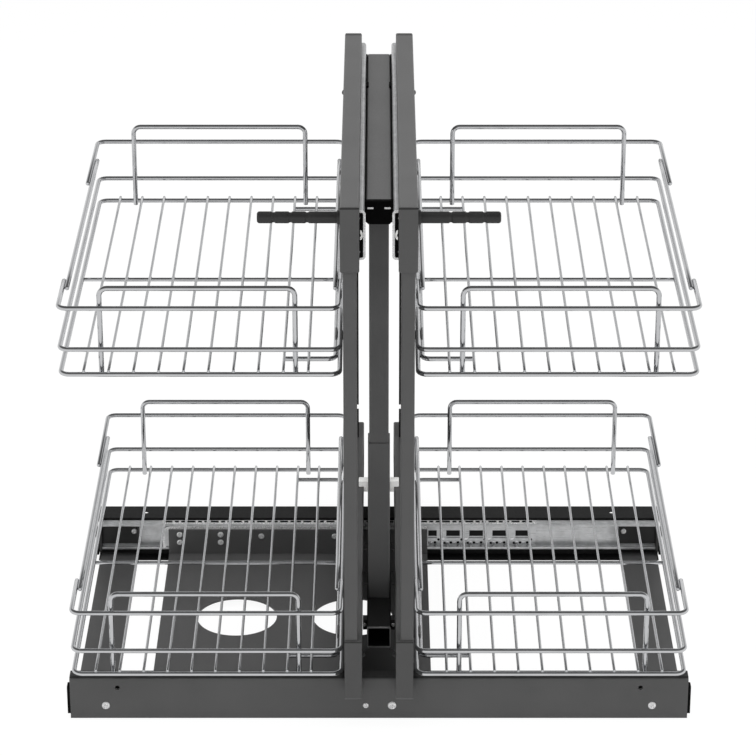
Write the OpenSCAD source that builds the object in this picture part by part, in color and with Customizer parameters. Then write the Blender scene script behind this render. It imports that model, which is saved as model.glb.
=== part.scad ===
// Corner cabinet pull-out unit, in millimetres, +Z up.
// A floor frame carries a carriage that runs sideways on two ball tracks. The carriage carries a mast,
// and on each side of the mast a frame with two wire baskets pulls out forwards on telescopic slides.
// The origin is under the middle of the front beam, on the cabinet floor.

/* [Floor frame] */
// Width across the two beams
frame_w = 660; // [600:10:800]
// Distance from the front beam's face to the rear beam's web
frame_d = 385; // [370:5:430]
// Height of the two beams
beam_h = 49; // [47:1:54]
// Depth of the front beam
beam_d = 16; // [14:1:20]
// Sheet thickness of the beams
beam_t = 1.5; // [1.2:0.1:2]
// Radius of the front beam's upper edge
beam_edge_r = 4; // [2:0.5:6]
// Depth of the rear beam's top flange
rear_flange_d = 31; // [24:1:40]
// Depth of the rear beam's floor flange
rear_toe_d = 14; // [12:1:16]
// Distance between the two fixing holes in the rear flange
fixing_pitch = 550; // [450:10:570]
// Diameter of a fixing hole in the rear flange
fixing_d = 6; // [4:0.5:8]
// Diameter of a fixing hole in the front beam
front_hole_d = 5; // [4:0.5:6]
// Width of a side rail
side_rail_w = 42; // [30:1:60]
// Thickness of a side rail
side_rail_t = 2; // [1.5:0.5:3]
// Distance of a side rail from the end of the beams
side_rail_inset = 2; // [1:0.5:8]
// Thickness of the caps on the beam ends
end_cap_t = 3; // [2:0.5:4]

/* [Sideways track] */
// Height of the track
track_h = 36; // [34:1:38]
// Thickness of the track with its runner
track_t = 12; // [11.5:0.5:13]
// Distance from each end of the beams to the track
track_inset = 4; // [4:1:10]
// Length of the runner
runner_len = 310; // [260:10:330]
// Place of the runner's middle at rest, left of the unit's middle
runner_rest = 97; // [90:1:100]
// Length of the ball cage
track_cage_len = 440; // [360:8:440]
// Place of the cage's middle at rest, left of the unit's middle
track_cage_rest = 35; // [30:1:38]
// Diameter of a track ball
track_ball_d = 4.8; // [4:0.2:4.8]
// Distance between track balls
track_ball_pitch = 13.6; // [12:0.2:20]
// Length of an end stop
stop_len = 44; // [36:1:44]

/* [Telescopic slides] */
// Height of a slide
slide_h = 53; // [52:0.5:54]
// Thickness of a slide
slide_t = 12.7; // [12.5:0.1:13.5]
// Length of a slide
slide_len = 550; // [500:5:555]
// Distance from the top of the unit down to the middle of the slides
slide_drop = 41; // [40.5:0.5:43]
// Distance from the front beam's face to the front end of a slide
slide_front = 5; // [0:1:10]
// Sheet thickness of the slide members
member_t = 1.4; // [1.2:0.1:1.5]
// Diameter of the balls behind the middle member
outer_ball_d = 6; // [5:0.2:6]
// Diameter of the balls in front of the middle member
inner_ball_d = 4; // [3.4:0.2:4]
// Distance between slide balls
slide_ball_pitch = 30; // [20:2:60]
// Length of a slide's ball cages
slide_cage_len = 270; // [200:10:290]

/* [Carriage] */
// Width of the carriage plate
plate_w = 304; // [280:2:306]
// Place of the plate's middle at rest, left of the unit's middle
plate_rest = 95; // [90:1:98]
// Sheet thickness of the carriage plate
plate_t = 2; // [1.5:0.5:3]
// Height of the plate's underside over the floor
plate_z = 7; // [5:0.5:9]
// Diameter of the plate's two large holes
plate_hole_d = 90; // [60:5:110]
// Distance between the two large holes
plate_hole_pitch = 131; // [120:1:160]
// Diameter of the carriage's screw heads
screw_d = 7; // [5:0.5:8]
// Distance from the plate's edge to the first screws in its flanges
flange_screw_edge = 13; // [10:1:16]
// Distance between the screws in the plate's flanges
flange_screw_pitch = 48; // [44:1:52]

/* [Mast] */
// Width of the mast's rails
mast_w = 26; // [24:0.5:27]
// Thickness of the liners between the mast and the slides
liner_t = 1.6; // [1:0.1:2.4]
// Height of the mast's rails
mast_rail_h = 25; // [22:0.5:28]
// Distance from the front beam's face to the front of the mast
mast_front = 65; // [55:1:80]
// Distance from the front beam's face to the back of the mast
mast_back = 545; // [530:1:550]
// Distance from the top of the unit down to the top of the mast
mast_drop = 25; // [22:1:32]
// Width of the mast's posts
mast_post_w = 21; // [18:0.5:21.5]
// Depth of the mast's posts
mast_post_d = 25; // [20:1:35]
// Distance from the front beam's face to the front post
mast_post_front = 135; // [120:1:160]
// Distance from the front beam's face to the rear post
mast_post_rear = 356; // [330:1:380]
// Height of the sleeve round the foot of the front post
front_sleeve_h = 187; // [120:1:240]
// Height of the sleeve round the foot of the rear post
rear_sleeve_h = 45; // [38:1:120]
// Wall thickness of the sleeves
sleeve_t = 1.2; // [1:0.1:1.6]
// Wall thickness of the mast's tubes
tube_t = 1.5; // [1:0.1:2]
// Width of the mast's feet
foot_w = 100; // [90:1:110]
// Depth of the mast's feet
foot_d = 73; // [66:1:80]
// Depth of the guide blocks on the rear sleeve
guide_d = 12; // [8:1:24]

/* [Pull-out frames] */
// Height of the whole unit
unit_h = 593; // [560:1:700]
// Width of an upper rail
rail_w = 19.4; // [18:0.2:22]
// Gap between the mast and an upper rail
rail_gap = 6.6; // [6:0.1:7.2]
// Wall thickness of the pull-out rails
rail_t = 1.5; // [1.2:0.1:2]
// Width of a lower rail
low_rail_w = 18.4; // [17:0.2:19]
// Height of a lower rail
low_rail_h = 49.6; // [40:0.2:54]
// Distance from the front beam's face to the front of the pull-out frames
frame_reach = 25; // [22:1:35]
// Distance from the front beam's face to the back of the pull-out frames
frame_back = 545; // [540:1:560]
// Height of the lower corner connectors
connector_h = 70; // [66:1:80]
// Thickness of the upper corner connectors' front plate
connector_wall = 3; // [2:0.5:5]
// Depth of the lower corner connectors
connector_d = 22; // [18:0.5:22]
// Width of a front post
front_post_w = 14; // [12:0.2:15]
// Depth of a front post
front_post_d = 19.4; // [15:0.2:19.4]
// Width of a rear post
rear_post_w = 12.3; // [10:0.1:12.6]
// Depth of a rear post
rear_post_d = 44; // [20:1:46]
// Height of the notch in a rear post over the lower rail
notch_rise = 40; // [20:1:80]
// Distance from the front beam's face to the front rivet of a top rail
rivet_front = 100; // [60:5:200]
// Distance from the front beam's face to the rear rivet of a top rail
rivet_rear = 358; // [300:2:450]
// Diameter of a rivet
rivet_d = 6; // [4:0.5:8]

/* [Handles] */
// Diameter of a handle
handle_d = 12; // [10:0.5:14]
// Length of a handle
handle_len = 83; // [60:1:110]
// Distance from the top of the unit down to the handle's axis
handle_drop = 20; // [16:0.5:24]

/* [Baskets] */
// Width of a basket
basket_w = 289.4; // [270:0.2:290]
// Depth of a basket
basket_d = 510; // [480:1:512]
// Distance from the front beam's face to the front of a basket
basket_reach = 9; // [5:0.5:12]
// Gap between a basket and its frame
basket_gap = 1.3; // [0.8:0.1:1.6]
// Height of a lower basket's floor wire over the lower rail's underside
basket_rise = 7.2; // [6:0.1:10]
// Distance from a lower basket up to the upper one
basket_spacing = 347; // [300:1:370]
// Rise from the floor wire to the middle wire
mid_rise = 27.5; // [22:0.5:32]
// Rise from the floor wire to the top wire
top_rise = 72.5; // [60:0.5:80]
// Rise from the floor wire to the top of a guard
guard_rise = 95; // [88:0.5:110]
// Width of a guard
guard_w = 203; // [150:1:220]
// Diameter of the rim wires
rim_wire = 5; // [4:0.1:5.5]
// Diameter of the guard wires
guard_wire = 5.4; // [4.5:0.1:6]
// Diameter of the floor wires
grid_wire = 3; // [2.5:0.1:3.5]
// Diameter of the wire across the middle of the floor
cross_wire = 4.2; // [3:0.1:4.2]
// Distance between floor wires
grid_pitch = 25.4; // [20:0.1:27]
// Number of floor wires
grid_count = 10; // [6:1:10]
// Radius of the rim's corners
corner_r = 12; // [8:1:20]
// Reach of the brace under the floor wires
brace_reach = 64; // [50:1:90]
// Distance from the ends of the basket to the brace
brace_inset = 40; // [30:1:60]

/* [Hidden] */
$fn = 36;
running_gap = 1.5; // between the lower rails and the beams
race_gap = 0.15; // between a ball and its raceway
seat_gap = 0.3; // between pieces that rest near each other
guide_gap = 0.4; // between the guides and the lower rails
pass_gap = 0.7; // between the guide blocks and the rear posts that pass them
fit_gap = 0.2; // round a spigot in its tube
recess_gap = 0.8; // above and below a slide in its rail
weld = 0.4; // how far lapped wires sink into each other
wire_gap = 0.1; // between wires that cross
cage_t = 0.8;
bend_r = 3; // outer radius of the track's and slides' corners
rail_r = 2; // outer radius of the rails' edges
spigot_len = 14;
post_inset = 2; // from the front of the corner connectors back to the front posts
hook_len = 20;

front_y = -beam_d / 2; // the front beam's face
rear_y = front_y + frame_d; // the rear beam's web
track_z = beam_h - beam_t - 0.5 - track_h / 2;
track_len = frame_w - 2 * track_inset;
track_front_y = front_y + beam_t;

mast_z = beam_h + 1;
mast_top = unit_h - mast_drop;
mast_low_top = mast_z + mast_rail_h;
mast_high_z = mast_top - mast_rail_h;
mast_y0 = front_y + mast_front;
mast_y1 = front_y + mast_back;

slide_x0 = mast_w / 2 + liner_t;
rail_x0 = mast_w / 2 + rail_gap;
rail_x1 = rail_x0 + rail_w;
recess_x = slide_x0 + slide_t;
low_rail_z = beam_h + running_gap;
low_rail_top = low_rail_z + low_rail_h;
high_slide_z = unit_h - slide_drop;
high_rail_z = high_slide_z - slide_h / 2 - recess_gap - rail_t;
frame_y0 = front_y - frame_reach;
frame_y1 = front_y + frame_back;
connector_back = frame_y0 + connector_d;
low_connector_top = low_rail_top + 6;
low_connector_z = low_connector_top - connector_h - 1;
rear_post_y = frame_y1 - rear_post_d;
post_x0 = (rail_x0 + rail_x1 - front_post_w) / 2;
post_x1 = post_x0 + front_post_w;
low_rail_x0 = post_x1 - low_rail_w;
rear_post_x0 = post_x1 - rear_post_w;

slide_y0 = front_y + slide_front;
slide_y1 = slide_y0 + slide_len;
slide_mid = (slide_y0 + slide_y1) / 2;

basket_x0 = post_x1 + basket_gap;
basket_y0 = front_y - basket_reach;
low_floor = low_rail_z + basket_rise;
high_floor = low_floor + basket_spacing;

plate_top = plate_z + plate_t;
plate_y0 = track_front_y + track_t;
plate_y1 = rear_y - track_t;

// ---- helpers ----

// A profile drawn in X and Z, run along Y
module along_y(y0, y1) rotate([90, 0, 0]) translate([0, 0, -y1]) linear_extrude(y1 - y0) children();

// A profile drawn in Y and Z, run along X
module along_x(x0, x1) translate([x0, 0, 0]) rotate([90, 0, 90]) linear_extrude(x1 - x0) children();

// A rectangle between two corners
module area(x0, y0, x1, y1) translate([x0, y0]) square([x1 - x0, y1 - y0]);

// A box between two corners
module block(low, high) translate(low) cube(high - low);

// A rectangle with rounded corners
module soft_area(x0, y0, x1, y1, r) {
    area(x0 + r, y0, x1 - r, y1);
    area(x0, y0 + r, x1, y1 - r);
    for (x = [x0 + r, x1 - r], y = [y0 + r, y1 - r]) translate([x, y]) circle(r);
}

// A band of a ring between two angles
module arc_band(r0, r1, a0, a1) {
    far = 3 * r1;
    steps = [a0, (a0 + a1) / 2, a1];
    intersection() {
        difference() {
            circle(r1);
            circle(r0);
        }
        polygon(concat([[0, 0]], [for (a = steps) far * [cos(a), sin(a)]]));
    }
}

// The same on both sides of the profile's middle line
module both_edges() {
    children();
    mirror([0, 1]) children();
}

// Rods and bends of wire
module rod_x(x0, x1, y, z, d) translate([x0, y, z]) rotate([0, 90, 0]) cylinder(h = x1 - x0, d = d);
module rod_y(y0, y1, x, z, d) translate([x, y1, z]) rotate([90, 0, 0]) cylinder(h = y1 - y0, d = d);
module rod_z(z0, z1, x, y, d) translate([x, y, z0]) cylinder(h = z1 - z0, d = d);
module bend(r, d) rotate_extrude(angle = 90) translate([r, 0]) circle(d = d);

// A piece on the right, or its mirror image on the left
module on_side(left) mirror([left ? 1 : 0, 0, 0]) children();

// A low round screw head that looks along the given direction
module head(place, turn, d, h) translate(place) rotate(turn) {
    difference() {
        cylinder(h = h, d = d);
        translate([0, 0, h - 0.7]) cylinder(h = 1, d = d * 0.45, $fn = 6);
    }
}

// A domed rivet head that looks along the given direction
module rivet(place, turn, d, h) translate(place) rotate(turn) intersection() {
    r = (d * d / 4 + h * h) / (2 * h);
    translate([0, 0, h - r]) sphere(r);
    cylinder(h = h, d = d);
}

// ---- ball slide profiles: u runs from the mounting face, v is up from the middle ----

// Middle of a ball in the profile
function race(d) = d / 2 + race_gap;
function ball_v(h, t, d) = h / 2 - t - race(d);

// Outer member: a channel whose edges curl over the balls
module channel_profile(h, thick, t, d) {
    u = thick / 2;
    v = ball_v(h, t, d);
    area(0, bend_r - h / 2, t, h / 2 - bend_r);
    both_edges() {
        translate([bend_r, h / 2 - bend_r]) arc_band(bend_r - t, bend_r, 90, 180);
        area(bend_r, h / 2 - t, u, h / 2);
        translate([u, v]) arc_band(race(d), race(d) + t, -8, 90);
    }
}

// Inner member: a channel that faces the other way and carries the balls on its edges
module runner_profile(thick, t, u, v, d) {
    edge = v - race(d);
    area(thick - t, 1 - edge, thick, edge - 1);
    both_edges() {
        area(u, edge - t, thick - 0.2, edge);
        translate([u, v]) arc_band(race(d), race(d) + t, 225, 270);
    }
}

slide_v = ball_v(slide_h, member_t, outer_ball_d);
slide_u = slide_t / 2;
middle_edge = slide_v - race(outer_ball_d);
inner_u = slide_u + 0.6;
inner_v = middle_edge - member_t - race(inner_ball_d);
middle_u = member_t + recess_gap;

// Middle member: runs on the outer balls and curls over the inner balls
module middle_profile() {
    area(middle_u, -middle_edge, middle_u + member_t, middle_edge);
    both_edges() {
        area(middle_u, middle_edge - member_t, inner_u, middle_edge);
        translate([slide_u, slide_v])
            arc_band(race(outer_ball_d), race(outer_ball_d) + member_t, 270, 305);
        translate([inner_u, inner_v]) arc_band(race(inner_ball_d), race(inner_ball_d) + member_t, -8, 90);
    }
}

// Balls in two rows
module ball_rows(start, count, pitch, u, v, d)
    for (i = [0 : count - 1], s = [-1, 1]) translate([u, start + i * pitch, s * v]) sphere(d = d);

// A comb of sheet that keeps a row of balls apart
module ball_comb(y0, y1, start, count, pitch, u0, u1, u, v, d)
    difference() {
        block([u0, y0, v - cage_t / 2], [u1, y1, v + cage_t / 2]);
        for (i = [0 : count - 1]) rod_z(v - cage_t, v + cage_t, u, start + i * pitch, d + 0.4);
    }

// ---- floor frame ----

module front_beam() color("#5a5a5a") difference() {
    along_x(-frame_w / 2, frame_w / 2) translate([front_y, 0]) difference() {
        union() {
            area(0, 0, beam_d, beam_h - beam_edge_r);
            area(beam_edge_r, 0, beam_d, beam_h);
            translate([beam_edge_r, beam_h - beam_edge_r]) circle(beam_edge_r);
        }
        area(beam_t, beam_t, beam_d + 1, beam_h - beam_edge_r);
        area(beam_edge_r, beam_t, beam_d + 1, beam_h - beam_t);
        translate([beam_edge_r, beam_h - beam_edge_r]) circle(beam_edge_r - beam_t);
    }
    front_holes();
}

// Holes through the front beam and the track behind it
module front_holes() for (s = [-1, 1])
    rod_y(front_y - 1, track_front_y + member_t + 1, s * (frame_w / 2 - 51), 37, front_hole_d);

module rear_beam() color("#404040") difference() {
    along_x(-frame_w / 2, frame_w / 2) translate([rear_y, 0]) {
        area(0, 0, beam_t, beam_h);
        area(-rear_toe_d, 0, beam_t, beam_t);
        area(0, beam_h - beam_t, rear_flange_d, beam_h);
    }
    for (s = [-1, 1]) rod_z(beam_h - beam_t - 1, beam_h + 1, s * fixing_pitch / 2,
        rear_y + rear_flange_d / 2, fixing_d);
}

module side_rails() color("#484848") for (s = [-1, 1]) {
    outer = frame_w / 2 - side_rail_inset;
    middle = s * (outer - side_rail_w / 2);
    block([middle - side_rail_w / 2, front_y + beam_t, beam_t],
        [middle + side_rail_w / 2, rear_y, beam_t + side_rail_t]);
}

// Caps on the ends of the beams' webs
module beam_end_caps() color("#2a2a2a") {
    cap_d = beam_d - 4;
    cap_z = 5;
    cap_top = beam_h - 11;
    for (left = [true, false], end = [front_y, rear_y + beam_t - cap_d]) on_side(left)
        along_x(frame_w / 2, frame_w / 2 + end_cap_t) soft_area(end, cap_z, end + cap_d, cap_top, 2);
}

module at_front_track() translate([0, track_front_y, track_z]) children();
module at_rear_track() translate([0, rear_y, track_z]) mirror([0, 1, 0]) children();

module tracks() color("#b4b6b8") {
    difference() {
        at_front_track() track_channel();
        front_holes();
    }
    at_rear_track() track_channel();
}

module track_channel() along_x(-track_len / 2, track_len / 2)
    channel_profile(track_h, track_t, member_t, track_ball_d);

track_v = ball_v(track_h, member_t, track_ball_d);
track_u = track_t / 2;
stop_half = track_v - race(track_ball_d) - 0.6;
stop_lip = 2.4;
stop_screw_d = 6.5;

module track_end_stops() color("#262626") {
    at_front_track() end_stop_pair();
    at_rear_track() end_stop_pair();
}

module end_stop_pair() for (left = [true, false]) on_side(left) {
    x1 = track_len / 2;
    x0 = x1 - stop_len;
    block([x0, member_t, -stop_half], [x1, 5, stop_half]);
    block([x0, member_t, -stop_half], [x0 + stop_lip, 9, stop_half]);
    block([x1, 0.2, 1 - track_h / 2], [x1 + 3, track_t, track_h / 2 - 1]);
}

module base_screws() color("#d0d0d0") {
    for (x = [-frame_w / 2 + 38, -14, 14, frame_w / 2 - 38])
        head([x, front_y, 15], [90, 0, 0], screw_d, 1.8);
    stop_x = track_len / 2 - stop_len + stop_lip + stop_screw_d / 2 + seat_gap;
    for (s = [-1, 1]) {
        at_front_track() head([s * stop_x, 5, 5], [-90, 0, 0], stop_screw_d, 1.6);
        at_rear_track() head([s * stop_x, 5, 5], [-90, 0, 0], stop_screw_d, 1.6);
    }
}

// ---- sideways track: cages and balls ----

track_ball_count = floor((track_cage_len - 8) / track_ball_pitch) + 1;
track_ball_start = -(track_ball_count - 1) * track_ball_pitch / 2;

// The track's parts are drawn along Y and turned to lie along X
module along_track() translate([-track_cage_rest, 0, 0]) multmatrix([[0, 1, 0, 0], [1, 0, 0, 0],
    [0, 0, 1, 0], [0, 0, 0, 1]]) children();

module track_cages() color("#9a9c9e") {
    at_front_track() along_track() track_cage();
    at_rear_track() along_track() track_cage();
}

module track_cage() {
    half = track_cage_len / 2;
    web = member_t + 0.5;
    reach = track_u + race(track_ball_d) - 0.35;
    for (s = [-1, 1]) ball_comb(-half, half, track_ball_start, track_ball_count, track_ball_pitch, web,
        reach, track_u, s * track_v, track_ball_d);
    difference() {
        block([web, -half, -track_v], [web + cage_t, half, track_v]);
        for (i = [0 : 2 : track_ball_count - 2])
            translate([web - 1, track_ball_start + (i + 0.5) * track_ball_pitch, 0])
                cube([4, 16, 10], center = true);
    }
}

module track_balls() color("#dcdcdc") {
    at_front_track() along_track() track_ball_rows();
    at_rear_track() along_track() track_ball_rows();
}

module track_ball_rows() ball_rows(track_ball_start, track_ball_count, track_ball_pitch, track_u, track_v,
    track_ball_d);

// ---- carriage ----

module runners() color("#a8aaac") {
    at_front_track() runner();
    at_rear_track() runner();
}

module runner() along_x(-runner_rest - runner_len / 2, -runner_rest + runner_len / 2)
    runner_profile(track_t, member_t, track_u, track_v, track_ball_d);

plate_flange_top = track_z + track_v - race(track_ball_d) - 0.6;

module carriage_plate() color("#4c4c4c") difference() {
    along_x(-plate_rest - plate_w / 2, -plate_rest + plate_w / 2) {
        area(plate_y0, plate_z, plate_y1, plate_top);
        area(plate_y0, plate_z, plate_y0 + plate_t, plate_flange_top);
        area(plate_y1 - plate_t, plate_z, plate_y1, plate_flange_top);
    }
    for (s = [-1, 1]) rod_z(plate_z - 1, plate_top + 1, -plate_rest + s * plate_hole_pitch / 2,
        front_y + 0.555 * frame_d, plate_hole_d);
}

foot_t = 2;
foot_wall = 41; // from a foot's end to its gusset
foot_screw_edge = 7;

module carriage_screws() color("#d6d6d6") {
    for (s = [-1, 1], i = [0 : 2], dz = i < 2 ? [-5, 5] : [3]) {
        x = -plate_rest + s * (plate_w / 2 - flange_screw_edge - i * flange_screw_pitch);
        head([x, plate_y1 - plate_t, track_z + dz], [90, 0, 0], screw_d, 1.5);
        head([x, plate_y0 + plate_t, track_z + dz], [-90, 0, 0], screw_d, 1.5);
    }
    for (left = [true, false]) on_side(left)
        head([(mast_w / 2 + low_rail_x0) / 2, front_guide_y, front_guide_z], [90, 0, 0], 4, 1.5);
    foot_y = foot_screw_edge + screw_d;
    for (x = [-1, 1] * (foot_w / 2 - foot_screw_edge), y = [foot_y0 + foot_y, foot_y1 - foot_y])
        head([x, y, plate_top + foot_t], [0, 0, 0], screw_d + 2, 3);
}

foot_y0 = mast_y0 - foot_wall;
foot_y1 = plate_y1 - 8;

module mast_feet() color("#3c3c3c") {
    foot(foot_y0, 1);
    foot(foot_y1, -1);
}

// Foot of the mast: a base, a box under the rail and a slotted gusset on each side
module foot(y, way) translate([0, y, plate_top]) mirror([0, way < 0 ? 1 : 0, 0]) {
    h = mast_z - plate_top;
    box_x = mast_w / 2 - 2.5;
    block([-foot_w / 2, 0, 0], [foot_w / 2, foot_d, foot_t]);
    difference() {
        block([-box_x, foot_wall, 0], [box_x, foot_d, h]);
        block([foot_t - box_x, foot_wall + foot_t, foot_t], [box_x - foot_t, foot_d + 1, h - foot_t]);
    }
    for (left = [true, false]) on_side(left) along_y(foot_wall, foot_wall + 3) difference() {
        polygon([[box_x - 1, 1], [foot_w / 2 - 6, 1], [foot_w / 2 - 6, h * 0.44], [mast_w / 2 + 3, h - 3],
            [box_x - 1, h - 3]]);
        translate([mast_w / 2 + 1, h * 0.77]) rotate(-32) square([13, 4]);
    }
}

// A square tube's profile
module tube_profile(w, h) difference() {
    soft_area(-w / 2, 0, w / 2, h, rail_r);
    area(-w / 2 + tube_t, tube_t, w / 2 - tube_t, h - tube_t);
}

module mast_bottom_rail() color("#505050") along_y(mast_y0, mast_y1) translate([0, mast_z])
    tube_profile(mast_w, mast_rail_h);

module mast_top_rail() color("#6c6c6c") along_y(mast_y0, mast_y1) translate([0, mast_high_z])
    tube_profile(mast_w, mast_rail_h);

module mast_posts() color("#565656") for (y = [mast_post_front, mast_post_rear])
    translate([0, front_y + y, mast_low_top]) linear_extrude(mast_high_z - mast_low_top)
        tube_profile(mast_post_w, mast_post_d);

sleeve_w = mast_post_w + 2 * (sleeve_t + fit_gap);
sleeve_d = mast_post_d + 2 * (sleeve_t + fit_gap);

module mast_sleeves() color("#4a4a4a") {
    sleeve(mast_post_front, front_sleeve_h);
    sleeve(mast_post_rear, rear_sleeve_h);
}

module sleeve(y, h) translate([0, front_y + y - sleeve_t - fit_gap, mast_low_top]) linear_extrude(h) difference() {
    soft_area(-sleeve_w / 2, 0, sleeve_w / 2, sleeve_d, 1.5);
    area(-sleeve_w / 2 + sleeve_t, sleeve_t, sleeve_w / 2 - sleeve_t, sleeve_d - sleeve_t);
}

// Plugs in the ends of the upper rail, and the liners with their clips between it and the slides
module mast_end_plugs() color("#1e1e1e") {
    inner = mast_w / 2 - tube_t - fit_gap;
    flange = slide_x0 - seat_gap;
    clip_y = mast_y1 - 122;
    translate([0, mast_y0, mast_high_z]) {
        along_y(-6, 0) difference() {
            soft_area(-flange, 0, flange, mast_rail_h, 2);
            for (s = [-1, 1]) translate([s * flange, 0]) rotate(45) square(5, center = true);
        }
        block([-inner, 0, tube_t + fit_gap], [inner, spigot_len, mast_rail_h - tube_t - fit_gap]);
    }
    block([-inner, mast_y1 - spigot_len, mast_high_z + tube_t + fit_gap],
        [inner, mast_y1 - 1, mast_top - tube_t - fit_gap]);
    for (left = [true, false]) on_side(left) {
        block([mast_w / 2, mast_y0, mast_high_z], [slide_x0, mast_y1, mast_top]);
        block([mast_w / 2 - 1.5, clip_y, mast_top], [slide_x0 - seat_gap, clip_y + spigot_len, mast_top + 2]);
    }
}

// Guide blocks on the rear sleeve: each bears on the lower rail's inner side and on its top
module guide_blocks() color("#f2f2f0") for (left = [true, false]) on_side(left) {
    y = front_y + mast_post_rear + (mast_post_d - guide_d) / 2;
    top = low_rail_top + 7;
    along_y(y, y + guide_d) {
        area(sleeve_w / 2, low_rail_top - 6, low_rail_x0 - guide_gap, top);
        soft_area(sleeve_w / 2, low_rail_top + guide_gap, rear_post_x0 - pass_gap, top, 1);
    }
}

front_guide_y = front_y + mast_front + 19;
front_guide_z = mast_low_top - 7;

// Pads on the mast's lower rail that bear on the lower rails' inner sides
module front_guides() color("#202020") for (left = [true, false]) on_side(left)
    block([mast_w / 2, front_guide_y, front_guide_z - 6],
        [low_rail_x0 - guide_gap, front_guide_y + 11, front_guide_z + 6]);

// ---- telescopic slides: drawn for the right side ----

slide_ball_count = floor((slide_cage_len - 10) / slide_ball_pitch) + 1;
slide_ball_start = slide_mid - (slide_ball_count - 1) * slide_ball_pitch / 2;

// The slide of one side, from the side of the mast outwards
module at_slide(left) on_side(left) translate([slide_x0, 0, high_slide_z]) children();

module outer_member(left) color("#b0b2b4") at_slide(left)
    along_y(slide_y0, slide_y1) channel_profile(slide_h, slide_t, member_t, outer_ball_d);

module middle_member(left) color("#a6a8aa") at_slide(left) along_y(slide_y0, slide_y1) middle_profile();

module inner_member(left) color("#b6b8ba") at_slide(left) along_y(slide_y0, slide_y1)
    runner_profile(slide_t, member_t, inner_u, inner_v, inner_ball_d);

module slide_cages(left, u0, u, v, d) at_slide(left) {
    half = slide_cage_len / 2;
    for (s = [-1, 1]) ball_comb(slide_mid - half, slide_mid + half, slide_ball_start, slide_ball_count,
        slide_ball_pitch, u0, u + d / 2 - 0.3, u, s * v, d);
    ball_rows(slide_ball_start, slide_ball_count, slide_ball_pitch, u, v, d);
}

module outer_cage(left) color("#8c8e90") slide_cages(left, member_t + 0.4, slide_u, slide_v, outer_ball_d);

module inner_cage(left) color("#8c8e90")
    slide_cages(left, middle_u + member_t + 0.25, inner_u, inner_v, inner_ball_d);

// ---- pull-out frames: drawn for the right side ----

// The upper rail: a tube with a recess that holds the slide
module top_rail(left) color("#737373") on_side(left) along_y(frame_y0 + connector_wall, frame_y1) {
    edge = slide_h / 2 + recess_gap;
    difference() {
        soft_area(rail_x0, high_rail_z, rail_x1, unit_h, rail_r);
        area(rail_x0 - 1, high_slide_z - edge, recess_x, high_slide_z + edge);
        area(recess_x + rail_t, high_rail_z + rail_t, rail_x1 - rail_t, unit_h - rail_t);
        area(rail_x0 + rail_t, high_slide_z + edge + rail_t, recess_x + rail_t + 1, unit_h - rail_t);
    }
}

module bottom_rail(left) color("#5c5c5c") on_side(left) along_y(connector_back, frame_y1) difference() {
    soft_area(low_rail_x0, low_rail_z, post_x1, low_rail_top, rail_r);
    area(low_rail_x0 + rail_t, low_rail_z + rail_t, post_x1 - rail_t, low_rail_top - rail_t);
}

front_post_y = frame_y0 + post_inset;

module front_post(left) color("#5a5a5a") on_side(left)
    translate([0, 0, low_connector_top]) linear_extrude(high_rail_z - low_connector_top) difference() {
        soft_area(post_x0, front_post_y, post_x1, front_post_y + front_post_d, rail_r);
        area(post_x0 + rail_t, front_post_y + rail_t, post_x1 - rail_t, front_post_y + front_post_d - rail_t);
    }

// The rear post: an angle with a notch in the edge that faces the mast
module rear_post(left) color("#202020") on_side(left) difference() {
    translate([0, 0, low_rail_top]) linear_extrude(high_rail_z - low_rail_top) {
        area(rear_post_x0, rear_post_y, post_x1, rear_post_y + rail_t);
        area(post_x1 - rail_t, rear_post_y, post_x1, frame_y1);
    }
    translate([rear_post_x0, rear_post_y, low_rail_top + notch_rise]) cube([8, 6, 6], center = true);
}

// Upper corner: a plate over the rail's front end with a spigot in the rail
module top_connector(left) color("#606060") on_side(left) {
    back = frame_y0 + connector_wall;
    inset = rail_t + fit_gap;
    along_y(frame_y0, back) soft_area(rail_x0, high_rail_z, rail_x1, unit_h, rail_r);
    block([recess_x + inset, back, high_rail_z + inset],
        [rail_x1 - inset, back + spigot_len, unit_h - inset]);
}

// Lower corner: a shoe with one spigot in the front post and one in the lower rail
module bottom_connector(left) color("#5e5e5e") on_side(left) {
    r = 5;
    inset = rail_t + fit_gap;
    along_x(low_rail_x0, post_x1) {
        area(frame_y0, low_connector_z + r, connector_back, low_connector_top);
        area(frame_y0 + r, low_connector_z, connector_back, low_connector_z + r + 1);
        translate([frame_y0 + r, low_connector_z + r]) circle(r);
    }
    block([post_x0 + inset, front_post_y + inset, low_connector_top],
        [post_x1 - inset, front_post_y + front_post_d - inset, low_connector_top + spigot_len]);
    block([low_rail_x0 + inset, connector_back, low_rail_z + inset],
        [post_x1 - inset, connector_back + spigot_len, low_rail_top - inset]);
}

module handle(left) color("#1c1c1c") on_side(left) {
    groove = 0.7;
    translate([rail_x1, front_y, unit_h - handle_drop]) rotate([0, 90, 0]) difference() {
        union() {
            cylinder(h = 3, d = handle_d + 3);
            cylinder(h = handle_len - handle_d / 2 + 1, d = handle_d);
            translate([0, 0, handle_len - handle_d / 2]) sphere(d = handle_d);
        }
        for (share = [0.395, 0.595, 0.8]) translate([0, 0, share * handle_len])
            rotate_extrude() translate([handle_d / 2, 0]) circle(groove);
    }
}

module frame_screws(left) color("#6a6a6a") on_side(left)
    for (y = [rivet_front, rivet_rear]) rivet([rail_x1, front_y + y, unit_h - 9], [0, 90, 0], rivet_d, 1.8);

// ---- baskets: drawn for the right side ----

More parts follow.
